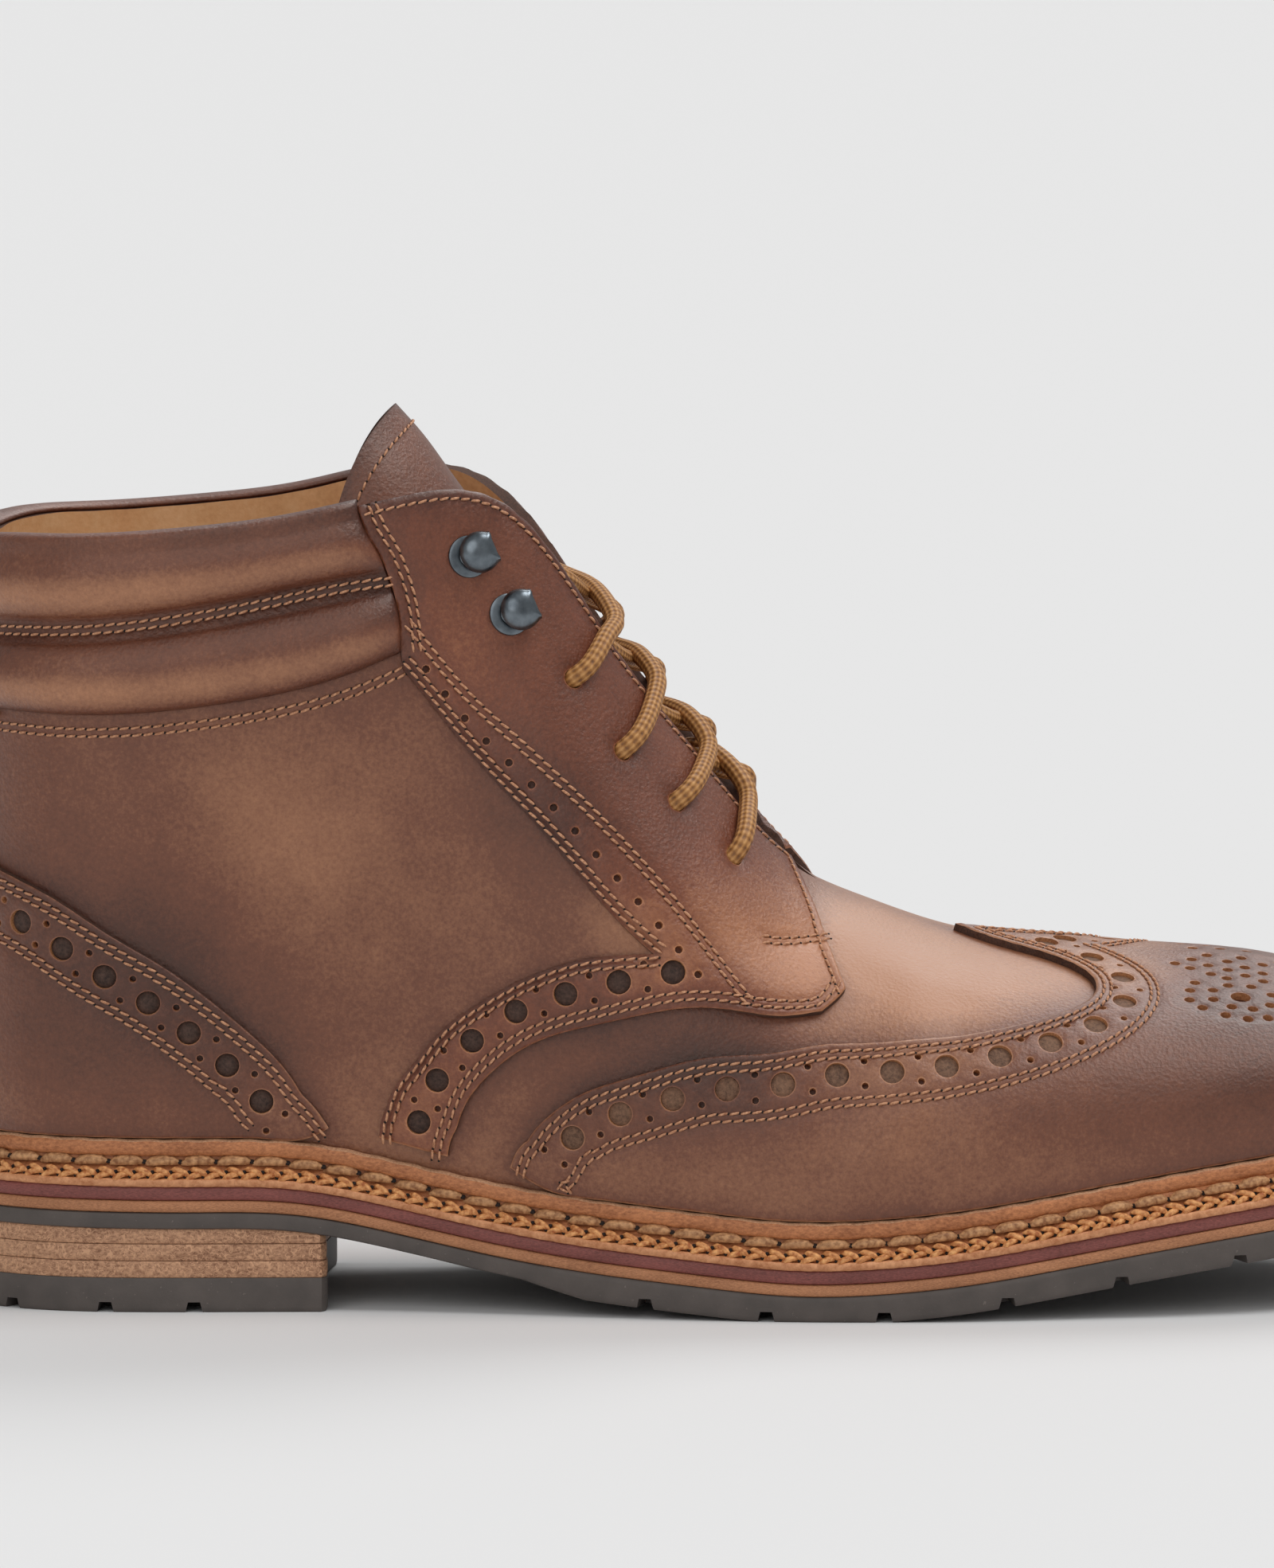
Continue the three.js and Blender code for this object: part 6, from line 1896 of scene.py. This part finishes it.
@dataclass
class Welt:
    """The storm welt: a ridge that hugs the upper, a groove of long stitches, and the braided outseam."""

    finishes: Finishes
    ring: SoleRing
    ridge: float = 9.2
    edge: float = 1.7

    def build(self, stitcher_welt: Stitcher, stitcher_cord: Stitcher) -> None:
        """Builds the welt, its pale lip and both rows of thread."""
        ring = self.ring
        v = np.zeros(len(ring.t))
        top_v = np.zeros(len(ring.t))
        for side in BOTH:
            mask = np.array([s is side for s in ring.sides])
            v[mask] = LAST.share_at_height(ring.t[mask], side, self.ridge)
            top_v[mask] = LAST.share_at_height(ring.t[mask], side, self.ridge - 3.2)

        def hug(shares: Array, off: float) -> Array:
            out = np.zeros((len(ring.t), 3))
            for side in BOTH:
                mask = np.array([s is side for s in ring.sides])
                out[mask] = LAST.face(ring.t[mask], shares[mask], side) \
                    + LAST.normal(ring.t[mask], shares[mask], side) * off
            return out

        def flank(share: float, rise: float) -> Array:
            plan = ring.at(share)
            return np.column_stack([plan, bed(plan[:, 0]) + rise])

        def ridge_point(out: float, rise: float) -> Array:
            base = hug(v, 0.15)
            return base + ring.out * out + np.array((0, 0, rise))

        wobble = 0.10 * np.sin(np.arange(len(ring.t)) * 0.9)[:, None] * np.array((0, 0, 1.0))
        section = [flank(1.0, 0.0), flank(1.0, 0.7), flank(0.975, 1.15), flank(0.93, 1.35), flank(0.87, 1.6),
                   flank(0.80, 2.4), flank(0.76, 3.1), flank(0.70, 3.5), flank(0.62, 4.0), flank(0.57, 4.9),
                   flank(0.55, 5.7)]
        lip = [ridge_point(1.7, -3.3), ridge_point(2.0, -2.9), ridge_point(2.2, -2.1) + wobble * 0.5,
               ridge_point(2.15, -1.2) + wobble, ridge_point(1.85, -0.5) + wobble,
               ridge_point(1.25, -0.1) + wobble, ridge_point(0.5, 0.0) + wobble, ridge_point(0.0, -0.3),
               hug(top_v, 0.05), flank(0.0, 1.0), flank(0.02, 0.0)]
        rows = section + lip
        block = np.stack(rows, 1).reshape(-1, 3)
        faces = grid_faces(len(ring.t), len(rows), closed_rows=True, closed_columns=True)
        pale = (0, 1, 2, len(section) + 4, len(section) + 5, len(section) + 6)
        slots = [(1 if k % len(rows) < 3 else 2) if k % len(rows) in pale else 0 for k in range(len(faces))]
        finishes = (self.finishes.welt, self.finishes.rand, self.finishes.ridge)
        piece = make_piece("storm_welt", block, faces, finishes, slots, sharp=60)
        settle(piece, "welt_leather", "welt")
        upward = ring.out * 0.75 + np.array((0, 0, 0.66))
        long_row = flank(0.665, 4.75)
        stitches = stitcher_welt.sew("welt_stitches", [(np.vstack([long_row, long_row[:1]]),
                                                        np.vstack([upward, upward[:1]]))],
                                     StitchRow(7.0, 6.7, 2.1, 0.8, 0.6, 0.05))
        settle(stitches, "welt_leather")
        cords = []
        for k, (shift, rise) in enumerate(((0.845, 2.85), (0.915, 1.95))):
            row = flank(shift, rise)
            cords.append((np.vstack([row, row[:1]]), np.vstack([upward, upward[:1]])))
            slant = 0.42 if k else -0.42
            braid = stitcher_cord.sew(f"sole_stitches_{k + 1}", cords[k:],
                                      StitchRow(3.6, 3.9, 1.25, 0.9, 0.45, slant))
            settle(braid, "welt_leather")
        self._scallops()

    def _scallops(self) -> None:
        """The pale edge under the outseam, pressed into small scallops between the stitches."""
        ring = self.ring
        plan = ring.at(1.0)
        keys = np.concatenate([[0], np.cumsum(np.linalg.norm(np.diff(plan, axis=0), axis=1))])
        press = np.abs(np.sin(math.pi * keys / 4.1))
        swell = 0.25 + 0.45 * press ** 0.6
        rows = []
        for k in range(9):
            angle = math.pi * (k / 8 - 0.5)
            out = swell * math.cos(angle)
            place = plan + ring.out[:, :2] * out[:, None]
            rise = 0.8 + 0.85 * math.sin(angle) * (0.85 + 0.15 * press)
            rows.append(np.column_stack([place, bed(plan[:, 0]) + rise]))
        inner = ring.at(1.0, 0.8)
        rows.append(np.column_stack([inner, bed(inner[:, 0]) + 0.9]))
        block = np.stack(rows, 1).reshape(-1, 3)
        faces = grid_faces(len(ring.t), len(rows), closed_rows=True, closed_columns=True)
        piece = make_piece("welt_scallops", block, faces, (self.finishes.rand,), sharp=70)
        settle(piece, "welt_leather")


def slab(name: str, outline: Array, top: Callable[[Array], Array], bottom: Callable[[Array], Array],
         profile: Sequence[Point2], materials: Sequence[bpy.types.Material], spacing: float = 6.0,
         sharp: float = 45.0) -> bpy.types.Object:
    """A layer of the sole with a shaped edge.

    Args:
        name: The piece's name.
        outline: Closed plan outline in mm, counter-clockwise.
        top: Height of the upper face by x.
        bottom: Height of the lower face by x.
        profile: (inset in mm, share of the thickness) of the edge from bottom to top.
        materials: Materials of the piece.
        spacing: Spacing of the inner points in mm.
        sharp: Angle over which an edge stays sharp.

    Returns:
        The layer's object.
    """
    ahead = np.roll(outline, -1, axis=0) - np.roll(outline, 1, axis=0)
    inward = np.stack([-ahead[:, 1], ahead[:, 0]], 1)
    inward /= np.maximum(np.linalg.norm(inward, axis=1, keepdims=True), 1e-9)
    rows = []
    for inset, share in profile:
        plan = outline + inward * inset
        low, high = bottom(plan[:, 0]), top(plan[:, 0])
        rows.append(np.column_stack([plan, low + (high - low) * share]))
    n = len(outline)
    points = [np.concatenate(rows)]
    faces = []
    for i in range(len(rows) - 1):
        for j in range(n):
            k = (j + 1) % n
            faces.append((i * n + j, i * n + k, (i + 1) * n + k, (i + 1) * n + j))
    count = len(rows) * n
    for which, height, flip in ((0, bottom, True), (len(rows) - 1, top, False)):
        loop = rows[which][:, :2]
        low, high = loop.min(0), loop.max(0)
        gx, gy = np.meshgrid(np.arange(low[0], high[0], spacing), np.arange(low[1], high[1], spacing),
                             indexing="ij")
        loose = np.stack([gx.ravel(), gy.ravel()], 1)
        loose = loose[inside(loose, loop)]
        gap = nearest(np.pad(loose, ((0, 0), (0, 1))), np.pad(loop, ((0, 0), (0, 1))))
        loose = loose[gap > spacing * 0.4]
        flat, triangles = plane_mesh([loop], loose)
        ids = np.concatenate([which * n + np.arange(n), count + np.arange(len(flat) - n)])
        inner = flat[n:]
        points.append(np.column_stack([inner, height(inner[:, 0])]))
        count += len(inner)
        faces += [tuple(ids[f][::-1]) if flip else tuple(ids[f]) for f in triangles]
    return make_piece(name, np.concatenate(points), faces, materials, sharp=sharp)


def carve(piece: bpy.types.Object, cutters: Sequence[tuple[Array, Array]]) -> None:
    """Cuts boxes out of a piece.

    Args:
        piece: The piece.
        cutters: (middle, three half edges as rows) of each box, in mm.
    """
    points, faces = [], []
    corners = np.array([(a, b, c) for a in (-1, 1) for b in (-1, 1) for c in (-1, 1)], float)
    quads = ((0, 1, 3, 2), (4, 6, 7, 5), (0, 4, 5, 1), (2, 3, 7, 6), (0, 2, 6, 4), (1, 5, 7, 3))
    for middle, axes in cutters:
        base = len(points) * 8
        splayed = corners * np.column_stack([np.ones(8), 1 - 0.3 * corners[:, 2], np.ones(8)])
        points.append(middle + splayed @ axes)
        faces += [tuple(base + k for k in quad) for quad in quads]
    block = make_piece("notch_cutter", np.concatenate(points), faces, ())
    turn_outwards(block.data)
    cut = piece.modifiers.new("notches", "BOOLEAN")
    cut.object = block
    cut.operation = "DIFFERENCE"
    cut.solver = "EXACT"
    result = applied(piece)
    piece.modifiers.clear()
    piece.data = result
    bpy.data.objects.remove(block)
    result.set_sharp_from_angle(angle=math.radians(40))


@dataclass
class Sole:
    """Midsoles, rubber outsole, stacked heel with its top piece, and the insole."""

    finishes: Finishes
    ring: SoleRing
    red: float = 2.4
    natural: float = 2.1
    fore: float = 5.25
    waist: float = 3.0
    heel_inset: float = 0.3
    breast: float = 41.0
    hollow: float = 2.0
    breast_half: float = 29.4
    top_piece: float = 6.8
    lifts: int = 3
    lift_share: float = 0.43
    notch_width: float = 3.4
    notch_depth: float = 2.0
    notch_reach: float = 9.0

    def red_top(self, x: Array) -> Array:
        """Height of the red midsole's top."""
        return bed(x) - 0.02

    def red_bottom(self, x: Array) -> Array:
        """Height of the red midsole's underside."""
        return bed(x) - GAP - self.red

    def natural_top(self, x: Array) -> Array:
        """Height of the natural midsole's top."""
        return self.red_bottom(x) - 0.12

    def natural_bottom(self, x: Array) -> Array:
        """Height of the natural midsole's underside."""
        return bed(x) - 2 * GAP - self.red - self.natural

    def rubber_top(self, x: Array) -> Array:
        """Height of the rubber's top."""
        return self.natural_bottom(x) - 0.1

    def rubber_bottom(self, x: Array) -> Array:
        """Height of the rubber's tread."""
        shares = np.interp(np.atleast_1d(x) / LAST_LENGTH, (-0.2, 0.24, 0.31, 0.36, 1.12), (0, 0, 0.12, 1, 1))
        thick = self.waist + (self.fore - self.waist) * shares
        return np.maximum(0, self.natural_bottom(x) - GAP - thick)

    def build(self) -> None:
        """Builds every layer."""
        outline = self.ring.at(1.0)
        round_edge = ((0.45, 0.0), (0.12, 0.12), (0.0, 0.35), (0.0, 0.65), (0.12, 0.88), (0.4, 1.0))
        red = slab("midsole_red_leather", outline, self.red_top, self.red_bottom, round_edge,
                   (self.finishes.red,))
        settle(red, "midsole_red", "midsole_red")
        natural = slab("midsole_natural_leather", outline, self.natural_top, self.natural_bottom, round_edge,
                       (self.finishes.natural,))
        settle(natural, "midsole_natural", "midsole_natural")
        square = ((0.5, 0.0), (0.1, 0.08), (0.0, 0.2), (0.0, 0.8), (0.1, 0.94), (0.4, 1.0))
        rubber = slab("outsole_rubber", outline, self.rubber_top, self.rubber_bottom, square,
                      (self.finishes.rubber,))
        carve(rubber, self._notches(0.457, 0.0685, 8, self.rubber_bottom))
        settle(rubber, "sole_rubber", "outsole")
        self._heel()
        round_trip = ((np.linspace(0, 1, 120), Side.LATERAL), (np.linspace(1, 0, 120)[1:-1], Side.MEDIAL))
        inner = np.concatenate([LAST.skin(t, 0.0, side, -UPPER_WALL - 0.1)[:, :2] for t, side in round_trip])
        insole = slab("insole_leather", inner, lambda x: bed(x) + 3.2, lambda x: bed(x) + 0.1,
                      ((0.3, 0.0), (0.0, 0.2), (0.0, 0.8), (0.4, 1.0)), (self.finishes.lining,))
        settle(insole, "lining", "insole")

    def _notches(self, first: float, pitch: float, count: int,
                 bottom: Callable[[Array], Array]) -> list[tuple[Array, Array]]:
        """Boxes that cut the notches of an edge."""
        cutters = []
        for k in range(count):
            for side in BOTH:
                t = first + k * pitch
                mask = [i for i, s in enumerate(self.ring.sides) if s is side]
                i = min(mask, key=lambda j: abs(self.ring.t[j] - t))
                out = self.ring.out[i]
                middle = self.ring.foot[i] + out * (self.ring.margin[i] + (4 - self.notch_reach) / 2)
                middle = np.array((middle[0], middle[1], float(bottom(middle[0])[0])))
                across = np.array((-out[1], out[0], 0))
                axes = np.stack([out * (self.notch_reach + 4) / 2, across * self.notch_width / 2,
                                 np.array((0, 0, self.notch_depth))])
                cutters.append((middle, axes))
        return cutters

    def _heel(self) -> None:
        """The leather lifts and the rubber top piece."""
        plan = self.ring.at(1.0, self.heel_inset)
        half = len(plan) // 2
        order = np.concatenate([plan[half:], plan[:half]])
        block = order[order[:, 0] < self.breast - 0.6]
        ys = np.linspace(block[-1, 1], block[0, 1], 43)[1:-1]
        dip = np.where(np.abs(ys) < self.breast_half, 1 - (ys / self.breast_half) ** 2, 0)
        front = np.column_stack([self.breast - self.hollow * dip, ys])
        outline = np.concatenate([block, front])
        corners = ((0.25, 0.0), (0.05, 0.1), (0.0, 0.3), (0.0, 0.7), (0.05, 0.9), (0.2, 1.0))
        piece = slab("heel_top_rubber", outline, lambda x: 0 * x + self.top_piece, lambda x: 0 * x,
                     ((0.35, 0.0), (0.05, 0.05), (0.0, 0.15), (0.0, 0.95), (0.1, 1.0)),
                     (self.finishes.rubber,))
        carve(piece, self._notches(0.0365, 0.0505, 4, lambda x: np.zeros(1)))
        settle(piece, "sole_rubber", "heel_top_piece")
        stack = float(self.rubber_bottom(self.breast)[0] - GAP - self.top_piece - self.lifts * GAP)
        height = stack * self.lift_share
        for k in range(self.lifts):
            low = self.top_piece + 0.05 + k * (height + GAP)
            if k < self.lifts - 1:
                top = lambda x, high=low + height + 0.2: 0 * x + high
            else:
                top = lambda x: self.rubber_bottom(x) - 0.05
            centre = outline.mean(0)
            shrink = 1 - 0.004 * k
            lift = slab(f"heel_lift_leather_{k + 1}", centre + (outline - centre) * shrink, top,
                        lambda x, low=low: 0 * x + low, corners, (self.finishes.stack,))
            settle(lift, "heel_stack", f"heel_lift_{k + 1}")


@dataclass(frozen=True)
class Lamp:
    """A soft distant light: where it shines from, its power and its apparent width in degrees."""

    name: str
    way: tuple[float, float, float]
    power: float
    spread: float


@dataclass
class Studio:
    """Pale seamless floor, soft light and the photograph's camera."""

    camera_place: tuple[float, float, float] = (0.102, -2.0, 0.290)
    camera_pitch: float = -5.40
    lens: float = 231.4
    surround: float = 0.36
    reach: float = 40.0
    lamps: tuple[Lamp, ...] = (
        Lamp("overhead_key", (0.45, -0.10, 0.88), 1.30, 30),
        Lamp("front_fill", (-0.25, -0.80, 0.55), 0.62, 50),
        Lamp("back_rim", (0.25, 0.62, 0.74), 0.85, 34),
    )

    def build(self) -> None:
        """Builds the floor, lights and camera."""
        scene = bpy.context.scene
        data = bpy.data.cameras.new("camera")
        data.lens = self.lens
        data.clip_end = 200
        camera = place_object("camera", data)
        camera.location = self.camera_place
        camera.rotation_euler = (math.radians(90 + self.camera_pitch), 0, 0)
        scene.camera = camera
        scene.view_settings.view_transform = "Standard"
        self._floor()
        self._lights()

    def _floor(self) -> None:
        """A wide pale floor."""
        mesh = bpy.data.meshes.new("floor")
        corners = [(x * self.reach, y * self.reach, 0) for x, y in ((-1, -1), (1, -1), (1, 1), (-1, 1))]
        mesh.from_pydata(corners, [], [(0, 1, 2, 3)])
        paint = Recipe("painted_floor")
        paint.feed(paint.shader, {"Base Color": linear("#e4e4e4"), "Roughness": 0.9,
                                  "Specular IOR Level": 0.1})
        mesh.materials.append(paint.material)
        place_object("floor", mesh)

    def _lights(self) -> None:
        """A pale surround and soft suns, which light the floor evenly out to the horizon."""
        world = bpy.data.worlds.new("studio")
        world.use_nodes = True
        background = world.node_tree.nodes["Background"]
        background.inputs[0].default_value = (1, 1, 1, 1)
        background.inputs[1].default_value = self.surround
        bpy.context.scene.world = world
        for lamp in self.lamps:
            data = bpy.data.lights.new(lamp.name, "SUN")
            data.energy = lamp.power
            data.angle = math.radians(lamp.spread)
            light = place_object(lamp.name, data)
            light.rotation_euler = Vector(lamp.way).to_track_quat("Z", "Y").to_euler()


def surface_height(t: Array, v: Array, side: Side) -> Array:
    """Height of the threads over the skin on the panels."""
    return np.full(len(t), GAP + OVERLAY - 0.12)


def main() -> None:
    """Builds the boot in order."""
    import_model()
    Studio().build()
    finishes = Finishes()
    ring = SoleRing()
    overlays = Overlays(finishes)
    overlays.build()
    panel_seams = list(overlays.seams)
    overlays.seams.clear()
    Collar(finishes).build(overlays)
    UpperWall(finishes, overlays.hole_places).build()
    stitcher = Stitcher(finishes.thread, finishes.hole)
    kind = StitchRow(STITCH_PITCH, 2.0, 0.56, 0.30, 0.27, 0.16)
    settle(stitcher.sew("panel_stitches", seam_lines(panel_seams, surface_height), kind), "upper_leather")
    collar_rows = [overlays.seams[0], overlays.seams[2]]
    quarter_rows = [overlays.seams[1], overlays.seams[3]]
    collar_lines = seam_lines(collar_rows, lambda t, v, side: np.full(len(t), GAP + 1.15))
    settle(stitcher.sew("collar_stitches", collar_lines, kind), "upper_leather")
    quarter_lines = seam_lines(quarter_rows, lambda t, v, side: np.full(len(t), 0.1))
    settle(stitcher.sew("quarter_stitches", quarter_lines, kind), "upper_leather")
    Tongue(finishes).build(stitcher)
    Lacing(finishes).build()
    SpeedHook(finishes).build()
    Welt(finishes, ring).build(Stitcher(finishes.welt_thread, finishes.hole),
                               Stitcher(finishes.cord_thread, finishes.hole))
    Sole(finishes, ring).build()


if __name__ == "__main__":
    logging.basicConfig(level=logging.INFO, format="%(name)s %(message)s")
    main()
